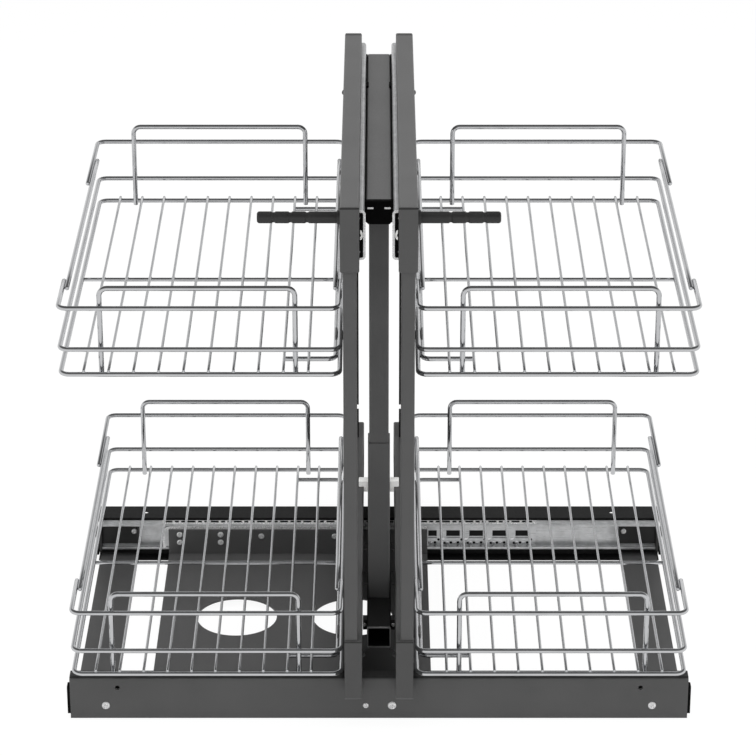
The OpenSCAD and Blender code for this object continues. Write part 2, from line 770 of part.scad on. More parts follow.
wire_r = rim_wire / 2;
ring_x0 = basket_x0 + wire_r;
ring_x1 = basket_x0 + basket_w - wire_r;
ring_y0 = basket_y0 + wire_r;
ring_y1 = basket_y0 + basket_d - wire_r;
grid_rise = wire_r + grid_wire / 2 + wire_gap;
grid_x0 = (ring_x0 + ring_x1) / 2 + 4 - (grid_count - 1) * grid_pitch / 2;

// A closed ring of wire round the basket
module ring(z) {
    r = corner_r - wire_r;
    for (y = [ring_y0, ring_y1]) rod_x(ring_x0 + r, ring_x1 - r, y, z, rim_wire);
    for (x = [ring_x0, ring_x1]) rod_y(ring_y0 + r, ring_y1 - r, x, z, rim_wire);
    translate([ring_x1 - r, ring_y1 - r, z]) bend(r, rim_wire);
    translate([ring_x0 + r, ring_y1 - r, z]) rotate([0, 0, 90]) bend(r, rim_wire);
    translate([ring_x0 + r, ring_y0 + r, z]) rotate([0, 0, 180]) bend(r, rim_wire);
    translate([ring_x1 - r, ring_y0 + r, z]) rotate([0, 0, 270]) bend(r, rim_wire);
}

// The top ring: a bow at the front and at the back, joined by two lapped side wires
module top_ring(z) {
    r = corner_r - wire_r;
    lap = rim_wire - weld;
    front_end = ring_y0 + 75;
    back_end = ring_y1 - 140;
    for (y = [ring_y0, ring_y1]) rod_x(ring_x0 + r, ring_x1 - r, y, z, rim_wire);
    for (x = [ring_x0, ring_x1]) {
        rod_y(ring_y0 + r, front_end, x, z, rim_wire);
        rod_y(back_end, ring_y1 - r, x, z, rim_wire);
    }
    for (x = [ring_x0 + lap, ring_x1 - lap]) rod_y(front_end - 20, back_end + 75, x, z, rim_wire);
    translate([ring_x1 - r, ring_y1 - r, z]) bend(r, rim_wire);
    translate([ring_x0 + r, ring_y1 - r, z]) rotate([0, 0, 90]) bend(r, rim_wire);
    translate([ring_x0 + r, ring_y0 + r, z]) rotate([0, 0, 180]) bend(r, rim_wire);
    translate([ring_x1 - r, ring_y0 + r, z]) rotate([0, 0, 270]) bend(r, rim_wire);
}

module basket_rim(left, z) color("#d8d8d8") on_side(left) {
    ring(z + mid_rise);
    top_ring(z + top_rise);
}

module basket_floor(left, z) color("#d0d0d0") on_side(left) {
    middle_y = (ring_y0 + ring_y1) / 2;
    brace_x = ring_x0 + rim_wire - weld;
    end_x = brace_x + brace_reach - corner_r;
    r = 8;
    ring(z);
    rod_x(ring_x0, ring_x1, middle_y + 6, z, cross_wire);
    for (i = [0 : grid_count - 1])
        rod_y(ring_y0 - 1, ring_y1 + 1, grid_x0 + i * grid_pitch, z + grid_rise, grid_wire);
    rod_y(ring_y0 + brace_inset + r, ring_y1 - brace_inset + 12 - r, brace_x, z, rim_wire);
    for (y = [ring_y0 + brace_inset, ring_y1 - brace_inset + 12]) rod_x(brace_x + r, end_x, y, z, rim_wire);
    translate([brace_x + r, ring_y0 + brace_inset + r, z]) rotate([0, 0, 180]) bend(r, rim_wire);
    translate([brace_x + r, ring_y1 - brace_inset + 12 - r, z]) rotate([0, 0, 90]) bend(r, rim_wire);
}

module basket_guards(left, z) color("#dcdcdc") on_side(left) {
    r = 8;
    offset_y = wire_r + guard_wire / 2 + wire_gap;
    middle_x = (ring_x0 + ring_x1) / 2 + 1.5;
    x0 = middle_x - guard_w / 2 + guard_wire / 2;
    x1 = middle_x + guard_w / 2 - guard_wire / 2;
    top = z + guard_rise - guard_wire / 2;
    for (y = [ring_y0 + offset_y, ring_y1 - offset_y]) {
        for (x = [x0, x1]) rod_z(z - wire_r, top - r, x, y, guard_wire);
        rod_x(x0 + r, x1 - r, y, top, guard_wire);
        translate([x1 - r, y, top - r]) rotate([90, 0, 0]) bend(r, guard_wire);
        translate([x0 + r, y, top - r]) rotate([90, 0, 180]) bend(r, guard_wire);
    }
}

// Hooks that carry the middle wires of both baskets
module basket_hooks(left) color("#4a4a4a") on_side(left) {
    front_hook = front_y + 30;
    rear_hook = ring_y1 - 45;
    plate_x = post_x1 - 3;
    plate_low = high_floor - 6;
    plate_high = high_floor + mid_rise + 8;
    for (y = [front_hook, rear_hook], z = [low_floor, high_floor]) hook(y, z);
    block([plate_x, front_post_y + front_post_d, plate_low], [post_x1, front_hook + hook_len + 2, plate_high]);
    block([plate_x, rear_hook - 2, plate_low], [post_x1, rear_post_y, plate_high]);
}

module hook(y, floor_z) {
    top = floor_z + mid_rise - wire_r - seat_gap;
    lip = basket_x0 + rim_wire + seat_gap;
    along_y(y, y + hook_len) {
        area(post_x1, top - 2, lip + 2, top);
        area(lip, top - 2, lip + 2, floor_z + mid_rise + 0.5);
    }
}

front_beam();
rear_beam();
side_rails();
beam_end_caps();
tracks();
track_end_stops();
base_screws();
track_cages();
track_balls();
carriage_plate();
runners();
carriage_screws();
mast_feet();
mast_bottom_rail();
mast_top_rail();
mast_posts();
mast_sleeves();
mast_end_plugs();
guide_blocks();
front_guides();
outer_member(true);  // left_outer_member
outer_cage(true);  // left_outer_cage
middle_member(true);  // left_middle_member
inner_cage(true);  // left_inner_cage
inner_member(true);  // left_inner_member
top_rail(true);  // left_top_rail
bottom_rail(true);  // left_bottom_rail
front_post(true);  // left_front_post
rear_post(true);  // left_rear_post
top_connector(true);  // left_top_connector
bottom_connector(true);  // left_bottom_connector
handle(true);  // left_handle
frame_screws(true);  // left_frame_screws
basket_hooks(true);  // left_basket_hooks
basket_floor(true, low_floor);  // left_lower_floor
basket_rim(true, low_floor);  // left_lower_rim
basket_guards(true, low_floor);  // left_lower_guards
basket_floor(true, high_floor);  // left_upper_floor
basket_rim(true, high_floor);  // left_upper_rim
basket_guards(true, high_floor);  // left_upper_guards
outer_member(false);  // right_outer_member
outer_cage(false);  // right_outer_cage
middle_member(false);  // right_middle_member
inner_cage(false);  // right_inner_cage
inner_member(false);  // right_inner_member
top_rail(false);  // right_top_rail
bottom_rail(false);  // right_bottom_rail
front_post(false);  // right_front_post
rear_post(false);  // right_rear_post
top_connector(false);  // right_top_connector
bottom_connector(false);  // right_bottom_connector
handle(false);  // right_handle
frame_screws(false);  // right_frame_screws
basket_hooks(false);  // right_basket_hooks
basket_floor(false, low_floor);  // right_lower_floor
basket_rim(false, low_floor);  // right_lower_rim
basket_guards(false, low_floor);  // right_lower_guards
basket_floor(false, high_floor);  // right_upper_floor
basket_rim(false, high_floor);  // right_upper_rim
basket_guards(false, high_floor);  // right_upper_guards
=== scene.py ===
"""Corner cabinet pull-out unit: finishes, wire baskets, grips, screws and a plain studio round the frame."""

import logging
import math
from collections.abc import Sequence
from dataclasses import dataclass
from enum import Enum
from typing import ClassVar

import bpy
import numpy as np
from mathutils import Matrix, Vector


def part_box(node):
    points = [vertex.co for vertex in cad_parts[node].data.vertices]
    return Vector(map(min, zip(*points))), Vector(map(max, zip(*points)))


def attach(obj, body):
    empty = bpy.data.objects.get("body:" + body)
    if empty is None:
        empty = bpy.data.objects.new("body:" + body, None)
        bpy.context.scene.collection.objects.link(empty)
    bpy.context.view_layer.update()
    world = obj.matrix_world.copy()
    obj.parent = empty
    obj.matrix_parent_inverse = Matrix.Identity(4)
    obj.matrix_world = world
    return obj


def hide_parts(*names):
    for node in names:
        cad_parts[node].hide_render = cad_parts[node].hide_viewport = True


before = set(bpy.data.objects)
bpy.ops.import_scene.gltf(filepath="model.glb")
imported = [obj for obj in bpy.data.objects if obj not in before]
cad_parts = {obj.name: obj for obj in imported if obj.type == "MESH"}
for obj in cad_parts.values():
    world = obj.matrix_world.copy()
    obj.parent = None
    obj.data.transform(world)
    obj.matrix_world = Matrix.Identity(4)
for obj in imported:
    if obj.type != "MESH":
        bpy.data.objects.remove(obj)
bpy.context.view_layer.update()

LOG = logging.getLogger("corner_unit")
MM = 0.001
# Nearly all values of a noise lie between these two.
NOISE_LOW, NOISE_HIGH = 0.3, 0.7
# An edge whose faces meet at less than this angle, in degrees, is shaded smooth.
SMOOTH_ANGLE = 50.0
# The angles, in degrees, of the rings that round a wire's free end.
END_RINGS = (80.0, 55.0, 28.0)
# The radius of the last ring of a turned face, which a cap closes.
POLE = 0.1


class Side(Enum):
    """The side of the mast that a part is on, with the sign of its X."""

    LEFT = -1
    RIGHT = 1

    @property
    def word(self) -> str:
        """The side's name in node and body names."""
        return self.name.lower()


class Level(Enum):
    """The two heights at which a frame carries a basket."""

    LOWER = "lower"
    UPPER = "upper"


def node_box(node: str, side: Side) -> tuple[np.ndarray, np.ndarray]:
    """Reads a node's box from the frame in millimetres, mirrored to the right where it is on the left.

    Args:
        node: the node's name.
        side: the side that it is on.

    Returns:
        The box's lowest and highest corner.
    """
    corners = np.array(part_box(node)) / MM
    corners[:, 0] *= side.value
    return corners.min(0), corners.max(0)


# ---- finishes ----


def linear(code: str) -> tuple[float, float, float, float]:
    """Turns an sRGB hex colour into linear RGBA.

    Args:
        code: the colour as "#rrggbb".

    Returns:
        Linear red, green and blue, and an alpha of 1.
    """
    parts = [int(code[i : i + 2], 16) / 255 for i in (1, 3, 5)]
    red, green, blue = (p / 12.92 if p <= 0.04045 else ((p + 0.055) / 1.055) ** 2.4 for p in parts)
    return red, green, blue, 1.0


def add_node(
    tree: bpy.types.NodeTree,
    kind: str,
    settings: dict[str, object] | None = None,
    **inputs: float | Sequence[float] | bpy.types.NodeSocket,
) -> bpy.types.Node:
    """Adds a node with its settings, values and links.

    Args:
        tree: the node tree that gets the node.
        kind: the node's Blender type name.
        settings: attributes of the node itself.
        **inputs: each input by its name with _ for a space, or by _ and its number. A value is set, and
            an output socket is linked.

    Returns:
        The new node.
    """
    made = tree.nodes.new(kind)
    for name, value in (settings or {}).items():
        setattr(made, name, value)
    for name, value in inputs.items():
        socket = made.inputs[int(name[1:])] if name[0] == "_" else made.inputs[name.replace("_", " ")]
        if isinstance(value, bpy.types.NodeSocket):
            tree.links.new(value, socket)
        else:
            socket.default_value = value
    return made


@dataclass(frozen=True)
class Finish:
    """A surface finish: its name, colour and gloss. Subclasses add how the surface was made."""

    name: str
    colour: str
    roughness: float
    metallic: float = 0.0
    # The gloss of a surface that isn't metal: 0.5 as a rule, less for a matt pigment or a worn mould.
    specular: float = 0.5
    # Radius of the soft edge that coating, plating or moulding leaves on a sharp one.
    edge_mm: float = 0.0

    def material(self) -> bpy.types.Material:
        """Makes the Blender material once.

        Returns:
            The new material, or the one of this name that was made before.
        """
        if self.name in bpy.data.materials:
            return bpy.data.materials[self.name]
        made = bpy.data.materials.new(self.name)
        made.use_nodes = True
        tree = made.node_tree
        tree.nodes.clear()
        shader = add_node(
            tree, "ShaderNodeBsdfPrincipled", Base_Color=linear(self.colour), Metallic=self.metallic,
            Roughness=self.roughness, Specular_IOR_Level=self.specular,
        )
        self.pattern(tree, shader)
        add_node(tree, "ShaderNodeOutputMaterial", Surface=shader.outputs["BSDF"])
        return made

    def pattern(self, tree: bpy.types.NodeTree, shader: bpy.types.Node) -> None:
        """Adds what the way of making leaves on the surface. The plain finish has nothing."""

    def noise(
        self,
        tree: bpy.types.NodeTree,
        size_mm: float,
        detail: float,
        stretch: Sequence[float] = (1.0, 1.0, 1.0),
    ) -> bpy.types.NodeSocket:
        """Adds noise on object coordinates.

        Args:
            tree: the material's node tree.
            size_mm: the size of the noise's cells.
            detail: how many finer layers the noise has.
            stretch: how much longer the cells are along X, Y and Z.

        Returns:
            The noise's value socket.
        """
        place = add_node(tree, "ShaderNodeTexCoord").outputs["Object"]
        scale = [1 / s for s in stretch]
        turned = add_node(tree, "ShaderNodeMapping", Vector=place, Scale=scale).outputs["Vector"]
        made = add_node(tree, "ShaderNodeTexNoise", Vector=turned, Scale=1 / (size_mm * MM), Detail=detail)
        return made.outputs["Fac"]

    def shade(
        self, tree: bpy.types.NodeTree, factor: bpy.types.NodeSocket, darker: float, lighter: float
    ) -> bpy.types.NodeSocket:
        """Spreads the finish's colour between a darker and a lighter share of itself.

        Args:
            tree: the material's node tree.
            factor: a noise's value, which picks the shade.
            darker: the share of the colour at the noise's low end.
            lighter: the share of the colour at its high end.

        Returns:
            The colour socket.
        """
        base = linear(self.colour)[:3]
        ends = [(*(min(1.0, c * share) for c in base), 1.0) for share in (darker, lighter)]
        ramp = add_node(tree, "ShaderNodeValToRGB", Fac=factor)
        places = (NOISE_LOW, NOISE_HIGH)
        for element, place, colour in zip(ramp.color_ramp.elements, places, ends, strict=True):
            element.position = place
            element.color = colour
        return ramp.outputs["Color"]

    def spread(
        self, tree: bpy.types.NodeTree, factor: bpy.types.NodeSocket, low: float, high: float
    ) -> bpy.types.NodeSocket:
        """Maps a noise's value to low..high and returns the mapped value's socket."""
        made = add_node(
            tree, "ShaderNodeMapRange", Value=factor, From_Min=NOISE_LOW, From_Max=NOISE_HIGH, To_Min=low,
            To_Max=high,
        )
        return made.outputs["Result"]

    def bump(
        self, tree: bpy.types.NodeTree, shader: bpy.types.Node, height: bpy.types.NodeSocket, depth_mm: float
    ) -> None:
        """Turns a height into the shader's normal, over the soft edges where the finish has them.

        Args:
            tree: the material's node tree.
            shader: the shader that gets the normal.
            height: the height as a value from 0 to 1.
            depth_mm: how far the lowest lies under the highest.
        """
        made = add_node(tree, "ShaderNodeBump", Height=height, Strength=1.0, Distance=depth_mm * MM)
        if self.edge_mm:
            edge = add_node(tree, "ShaderNodeBevel", {"samples": 4}, Radius=self.edge_mm * MM)
            tree.links.new(edge.outputs["Normal"], made.inputs["Normal"])
        tree.links.new(made.outputs["Normal"], shader.inputs["Normal"])


@dataclass(frozen=True)
class PowderCoat(Finish):
    """Polyester powder baked on steel: satin, with a fine orange peel and a slow drift in shade."""

    # Orange peel is about 0.5 mm across; 1.1 mm is the finest that still shows from a few metres.
    peel_mm: float = 1.1
    peel_depth_mm: float = 0.05
    # How much rougher or smoother than the coat its peel is in places.
    peel_gloss: float = 0.05
    # The coat's thickness drifts over some centimetres, and its shade with it.
    drift_mm: float = 60.0
    drift_shades: tuple[float, float] = (0.93, 1.07)

    def pattern(self, tree: bpy.types.NodeTree, shader: bpy.types.Node) -> None:
        """Gives the coat its drift in shade, its uneven gloss and its orange peel.

        Args:
            tree: the material's node tree.
            shader: the shader that gets them.
        """
        drift = self.noise(tree, self.drift_mm, 3.0)
        peel = self.noise(tree, self.peel_mm, 1.0)
        tree.links.new(self.shade(tree, drift, *self.drift_shades), shader.inputs["Base Color"])
        rough = self.spread(tree, peel, self.roughness - self.peel_gloss, self.roughness + self.peel_gloss)
        tree.links.new(rough, shader.inputs["Roughness"])
        self.bump(tree, shader, peel, self.peel_depth_mm)


@dataclass(frozen=True)
class SeamedCoat(PowderCoat):
    """The same coat with a narrow band of another colour round it: a dark seam, a painted highlight on an
    end, a painted shade on a top.
    """

    axis: str = "Y"
    seam_mm: float = 0.0
    seam_half_mm: float = 1.0
    seam_colour: str = "#0d0d0d"

    def pattern(self, tree: bpy.types.NodeTree, shader: bpy.types.Node) -> None:
        """Gives the coat its drift and peel, and the band's colour within its half width along the axis.

        Args:
            tree: the material's node tree.
            shader: the shader that gets them.
        """
        super().pattern(tree, shader)
        place = add_node(tree, "ShaderNodeTexCoord").outputs["Object"]
        along = add_node(tree, "ShaderNodeSeparateXYZ", Vector=place).outputs[self.axis]
        # The band: a real dark joint on some coats, a painted shade or a painted highlight on others.
        seam_and_painted_light_mask = add_node(
            tree, "ShaderNodeMath", {"operation": "COMPARE"}, _0=along, _1=self.seam_mm * MM,
            _2=self.seam_half_mm * MM,
        )
        coat = shader.inputs["Base Color"].links[0].from_socket
        mixed = add_node(
            tree, "ShaderNodeMix", {"data_type": "RGBA"}, _0=seam_and_painted_light_mask.outputs[0], _6=coat,
            _7=linear(self.seam_colour),
        )
        tree.links.new(mixed.outputs[2], shader.inputs["Base Color"])


@dataclass(frozen=True)
class ChromePlate(Finish):
    """Bright nickel-chrome plating on drawn wire: mirror gloss, with faint waves left by polishing."""

    # Polishing leaves waves some millimetres long, and clouds three times as wide.
    wave_mm: float = 9.0
    wave_depth_mm: float = 0.04
    cloud_shades: tuple[float, float] = (0.94, 1.03)
    # How much rougher than the plating its clouds are.
    cloud_gloss: float = 0.06

    def pattern(self, tree: bpy.types.NodeTree, shader: bpy.types.Node) -> None:
        """Gives the plating its faint waves and its slightly clouded gloss.

        Args:
            tree: the material's node tree.
            shader: the shader that gets them.
        """
        wave = self.noise(tree, self.wave_mm, 1.0)
        cloud = self.noise(tree, self.wave_mm * 3, 2.0)
        tree.links.new(self.shade(tree, cloud, *self.cloud_shades), shader.inputs["Base Color"])
        rough = self.spread(tree, cloud, self.roughness, self.roughness + self.cloud_gloss)
        tree.links.new(rough, shader.inputs["Roughness"])
        self.bump(tree, shader, wave, self.wave_depth_mm)


@dataclass(frozen=True)
class RolledStrip(Finish):
    """Galvanised strip, rolled to shape: dull zinc with soft spangle and streaks along the rolling."""

    # Zinc spangle is some millimetres across.
    spangle_mm: float = 7.0
    spangle_shades: tuple[float, float] = (0.86, 1.08)
    # Rolling streaks are about 0.1 mm wide; 0.8 mm is the finest that still shows.
    streak_mm: float = 0.8
    streak_depth_mm: float = 0.02
    # How much smoother and how much rougher than the strip its streaks are.
    streak_gloss: tuple[float, float] = (-0.08, 0.1)
    # How many times longer than wide the streaks are along X, Y and Z.
    along: tuple[float, float, float] = (1.0, 40.0, 1.0)

    def pattern(self, tree: bpy.types.NodeTree, shader: bpy.types.Node) -> None:
        """Gives the strip its spangle and its rolling streaks.

        Args:
            tree: the material's node tree.
            shader: the shader that gets them.
        """
        spangle = self.noise(tree, self.spangle_mm, 2.0)
        streak = self.noise(tree, self.streak_mm, 2.0, self.along)
        tree.links.new(self.shade(tree, spangle, *self.spangle_shades), shader.inputs["Base Color"])
        smoother, rougher = (self.roughness + change for change in self.streak_gloss)
        tree.links.new(self.spread(tree, streak, smoother, rougher), shader.inputs["Roughness"])
        self.bump(tree, shader, streak, self.streak_depth_mm)


@dataclass(frozen=True)
class MouldedPlastic(Finish):
    """Injection-moulded plastic with the fine spark grain of its mould."""

    # Spark grain is about 0.2 mm; 0.7 mm is the finest that still shows.
    grain_mm: float = 0.7
    grain_depth_mm: float = 0.06
    # Handling leaves dull patches a few centimetres wide.
    scuff_mm: float = 18.0
    scuff_shades: tuple[float, float] = (0.9, 1.12)
    # How much smoother and how much rougher than the plastic its scuffs are.
    scuff_gloss: tuple[float, float] = (-0.06, 0.08)
    # A painted glow: emission in the plastic's own colour, which keeps its shaded sides pale.
    glow: float = 0.0

    def pattern(self, tree: bpy.types.NodeTree, shader: bpy.types.Node) -> None:
        """Gives the plastic its mould grain and slight scuffs.

        Args:
            tree: the material's node tree.
            shader: the shader that gets them.
        """
        grain = self.noise(tree, self.grain_mm, 2.0)
        scuff = self.noise(tree, self.scuff_mm, 3.0)
        tree.links.new(self.shade(tree, scuff, *self.scuff_shades), shader.inputs["Base Color"])
        smoother, rougher = (self.roughness + change for change in self.scuff_gloss)
        tree.links.new(self.spread(tree, scuff, smoother, rougher), shader.inputs["Roughness"])
        self.bump(tree, shader, grain, self.grain_depth_mm)
        # A painted glow: the plastic's own colour as emission keeps its shaded sides pale.
        shader.inputs["Emission Color"].default_value = linear(self.colour)
        shader.inputs["Emission Strength"].default_value = self.glow


# The pull-out frames and the mast: middle grey, with a soft light along their edges.
FRAME_COAT = PowderCoat("powder_coat_frame_grey", "#4e4e4e", 0.42, edge_mm=0.9)
# The upper rails: a cap closes each rear end, and its joint shows as a dark line round the rail.
RAIL_COAT = SeamedCoat(
    "powder_coat_capped_rail", "#4d4d4d", 0.42, edge_mm=0.9, seam_mm=531.5, seam_half_mm=2.0
)
# The lower rails: darker than the upper ones, a painted shade for the light that falls off lower down.
LOW_RAIL_PAINTED_SHADE_COAT = PowderCoat("powder_coat_lower_rail_grey", "#484848", 0.43, edge_mm=0.9)
# The side rails and the mast's sleeves: the frames' grey, a little less glossy.
BEAM_COAT = PowderCoat("powder_coat_beam_grey", "#4e4e4e", 0.44, edge_mm=0.9)
# The front beam: a band of painted shade darkens its flat top, close under the lower rails, below its face.
FRONT_COAT_PAINTED_TOP_SHADE = SeamedCoat(
    "powder_coat_front_beam", "#4e4e4e", 0.44, edge_mm=0.9, axis="Z", seam_mm=49.0, seam_half_mm=1.3,
    seam_colour="#282828",
)
# The carriage's plate and feet: a paler and drier grey on bent sheet.
PLATE_COAT = PowderCoat("powder_coat_plate_grey", "#525252", 0.46, edge_mm=0.6)
# The cast corners: a coarser peel and softer edges, with a dark joint round their tops.
CORNER_COAT = SeamedCoat(
    "powder_coat_on_cast_corner", "#4b4b4b", 0.44, edge_mm=1.1, peel_mm=1.6, axis="Z", seam_mm=591.4,
    seam_half_mm=0.9,
)
# The lower cast corners: darker than the upper ones, a painted shade for the light that falls off lower down,
# with a dark joint under the front post.
LOW_CORNER_PAINTED_SHADE_COAT = SeamedCoat(
    "powder_coat_on_low_cast_corner", "#464646", 0.44, edge_mm=1.1, peel_mm=1.6, axis="Z", seam_mm=105.0,
    seam_half_mm=0.7,
)
# The rear beam and the rear posts: black, with no more than a dull light on their edges.
BLACK_COAT = PowderCoat("powder_coat_black", "#141414", 0.5, specular=0.3, edge_mm=0.8)
# The mast's lower rail: black, with a painted highlight as a pale rim round its front end.
BLACK_COAT_PAINTED_RIM_HIGHLIGHT = SeamedCoat(
    "powder_coat_black_sawn_end", "#141414", 0.5, specular=0.3, edge_mm=0.3, seam_mm=57.5, seam_half_mm=0.6,
    seam_colour="#7c7c7c",
)
# The baskets' wire: bright lines, each with the dark ceiling drawn thin along its top.
CHROME = ChromePlate("chrome_plated_wire", "#d4d5d7", 0.1, metallic=1.0)
# The slides' members: pale, with streaks along their travel that blur what they mirror.
STRIP_LONG = RolledStrip("galvanised_slide_strip", "#c4c5c6", 0.34, metallic=0.7, edge_mm=0.4)
# The tracks and runners: the same strip rolled along X, and a little brighter.
STRIP_WIDE = RolledStrip(
    "galvanised_track_strip", "#cdcecf", 0.34, metallic=0.6, edge_mm=0.4, along=(40.0, 1.0, 1.0)
)
# The screws, the slides' cages and some bright edges: nearly white, with no streaks.
ZINC = RolledStrip(
    "bright_zinc_plated_screw", "#eeeeee", 0.28, metallic=0.5, spangle_mm=3.0, along=(1.0, 1.0, 1.0)
)
# The balls: polished, so that each shows one small bright spot.
BALL_STEEL = ChromePlate("polished_ball_steel", "#d8d9da", 0.08, metallic=1.0, wave_mm=3.0)
# The grips, stops and guide pads: satin black, with a soft line of light along what is round.
BLACK_PLASTIC = MouldedPlastic("moulded_black_nylon", "#212121", 0.4)
# The plugs and caps, and the painted shade on the slides' fronts, in the cages' slots and pockets and behind
# the front beam's holes: a black that takes almost no light.
PLUG_PLASTIC_AND_PAINTED_SHADE = MouldedPlastic("moulded_black_polyethylene", "#030303", 0.7, specular=0.12, edge_mm=0.5)
# The painted shade behind the cages' windows: black sheets, a little paler than the plugs.
SHADE_SHEET_BLACK = MouldedPlastic("moulded_black_liner", "#0c0c0c", 0.6, specular=0.25)
# The guide blocks and catches: white, with a painted glow that keeps their shaded sides pale.
WHITE_NYLON = MouldedPlastic("moulded_white_nylon", "#f2f2f0", 0.38, edge_mm=0.4, glow=0.2)


# ---- meshes as whole arrays ----


class Shape:
    """A mesh in the making: arrays of points and faces in millimetres, kept until it becomes an object."""

    def __init__(self, side: Side = Side.RIGHT) -> None:
        """Starts an empty shape.

        Args:
            side: the side that it is for; on the left its X is mirrored when it is made.
        """
        self.side = side
        self.points: list[np.ndarray] = []
        self.faces: list[list[int]] = []
        self.count = 0

    def add(self, points: np.ndarray, faces: Sequence[np.ndarray]) -> None:
        """Adds points and blocks of faces that count from 0.

        Args:
            points: an N by 3 array in millimetres.
            faces: arrays with one face per row.
        """
        self.points.append(points)
        for block in faces:
            self.faces.extend((block + self.count).tolist())
        self.count += len(points)

    def grid(self, points: np.ndarray, closed: bool = False) -> None:
        """Adds a surface of two parameters: points[i, j] runs along i and closes round j.

        Quad (i, j) joins the points i, i + 1 and j, j + 1, with j taken round. The first and last
        rings are capped by one face each, or joined to each other where the path is closed.

        Args:
            points: an array of rows by columns by 3.
            closed: whether the last ring joins the first.
        """
        rows, columns = points.shape[:2]
        index = np.arange(rows * columns).reshape(rows, columns)
        if closed:
            index = np.vstack([index, index[:1]])
        here, there = index[:-1], index[1:]
        quads = np.stack([here, np.roll(here, -1, 1), np.roll(there, -1, 1), there], -1).reshape(-1, 4)
        caps = [] if closed else [index[:1, ::-1], index[-1:]]
        self.add(points.reshape(-1, 3), [quads, *caps])

    def make(self, name: str, body: str, slot: str, finish: Finish, *stands_for: str) -> bpy.types.Object:
        """Makes the object, dresses it and ties it to its body.

        Args:
            name: the piece's name.
            body: the body that it moves with.
            slot: the record's material slot; not used.
            finish: its finish.
            *stands_for: the nodes that it replaces.

        Returns:
            The new object.
        """
        points = np.vstack(self.points) * MM
        faces = self.faces
        if self.side is Side.LEFT:
            points[:, 0] *= -1
            faces = [face[::-1] for face in faces]
        mesh = bpy.data.meshes.new(name)
        mesh.from_pydata(points.tolist(), [], faces)
        mesh.polygons.foreach_set("use_smooth", np.ones(len(mesh.polygons), bool))
        mesh.set_sharp_from_angle(angle=math.radians(SMOOTH_ANGLE))
        mesh.materials.append(finish.material())
        mesh.update()
        made = bpy.data.objects.new(name, mesh)
        bpy.context.scene.collection.objects.link(made)
        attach(made, body)
        if stands_for:
            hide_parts(*stands_for)
        LOG.info("%s: %d faces", name, len(faces))
        return made


def arc(centre: Sequence[float], radius: float, start: float, end: float, points: int) -> np.ndarray:
    """Points of an arc in a plane: centre + radius * (cos a, sin a) for a from start to end degrees."""
    angle = np.radians(np.linspace(start, end, points))
    return np.asarray(centre) + radius * np.stack([np.cos(angle), np.sin(angle)], -1)


def rounded(
    corners: Sequence[Sequence[float]], radius: float, steps: int = 7, closed: bool = False
) -> np.ndarray:
    """Rounds the corners of a plane path.

    At a corner with unit directions u towards the point before and w towards the point after, the arc
    touches both legs at radius / tan(half angle) and its centre lies on their bisector.

    Args:
        corners: the path's corner points.
        radius: the radius at every inner corner.
        steps: the points on each arc.
        closed: whether the path is a closed loop, whose every corner is rounded.

    Returns:
        The path's points, N by 2.
    """
    corner = np.asarray(corners, float)
    before, after = np.roll(corner, 1, 0), np.roll(corner, -1, 0)
    if not closed:
        before, after, inner = before[1:-1], after[1:-1], corner[1:-1]
    else:
        inner = corner
    u = (before - inner) / np.linalg.norm(before - inner, axis=1, keepdims=True)
    w = (after - inner) / np.linalg.norm(after - inner, axis=1, keepdims=True)
    half = np.arccos(np.clip((u * w).sum(1, keepdims=True), -1, 1)) / 2
    reach = radius / np.tan(half)
    middle = (u + w) / np.linalg.norm(u + w, axis=1, keepdims=True)
    centre = inner + middle * radius / np.sin(half)
    first, last = inner + u * reach - centre, inner + w * reach - centre
    turn = np.pi - 2 * half
    share = np.linspace(0, 1, steps)[None, :, None]
    weight = [np.sin((1 - share) * turn[:, None]), np.sin(share * turn[:, None])]
    swept = (first[:, None] * weight[0] + last[:, None] * weight[1]) / np.sin(turn)[:, None]
    points = (centre[:, None] + swept).reshape(-1, 2)
    return points if closed else np.vstack([corner[:1], points, corner[-1:]])


def lift(plane: np.ndarray, axes: str, level: float) -> np.ndarray:
    """Places plane points in space.

    Args:
        plane: N by 2 points.
        axes: the two axes that they lie on, such as "xy".
        level: the value on the third axis.

    Returns:
        N by 3 points.
    """
    made = np.full((len(plane), 3), float(level))
    made[:, ["xyz".index(a) for a in axes]] = plane
    return made


def wire(
    shape: Shape,
    path: np.ndarray,
    axis: int,
    diameter: float,
    closed: bool = False,
    sides: int = 16,
    dome: float = 0.6,
) -> None:
    """Carries a circle along a plane path, and rounds the free ends.

    Point (i, j) is path[i] + radius * (cos a_j * n_i + sin a_j * b), where b is the unit axis that the
    path's plane faces, n_i is the tangent turned a quarter in that plane and a_j goes once round. Free
    ends get rings at path end + tangent * dome * radius * sin p, of radius times cos p.

    Args:
        shape: the shape that gets the wire.
        path: N by 3 points in one plane.
        axis: the number of the axis that the plane faces.
        diameter: the wire's diameter.
        closed: whether the path is a loop.
        sides: the number of points round the wire.
        dome: how far an end bulges, as a share of the radius.
    """
    radius = diameter / 2
    if closed:
        tangent = np.roll(path, -1, 0) - np.roll(path, 1, 0)
    else:
        tangent = np.gradient(path, axis=0)
    tangent /= np.linalg.norm(tangent, axis=1, keepdims=True)
    size = np.full(len(path), radius)
    if not closed:
        rise = np.radians(END_RINGS)
        bulge = dome * radius * np.sin(rise)[:, None]
        small = radius * np.cos(rise)
        path = np.vstack([path[0] - tangent[0] * bulge, path, path[-1] + tangent[-1] * bulge[::-1]])
        tangent = np.vstack([tangent[[0] * len(rise)], tangent, tangent[[-1] * len(rise)]])
        size = np.concatenate([small, size, small[::-1]])
    facing = np.eye(3)[axis]
    across = np.cross(tangent, facing)
    angle = np.linspace(0, 2 * np.pi, sides, endpoint=False)
    ring = np.cos(angle)[None, :, None] * across[:, None] + np.sin(angle)[None, :, None] * facing
    shape.grid(path[:, None] + size[:, None, None] * ring, closed)


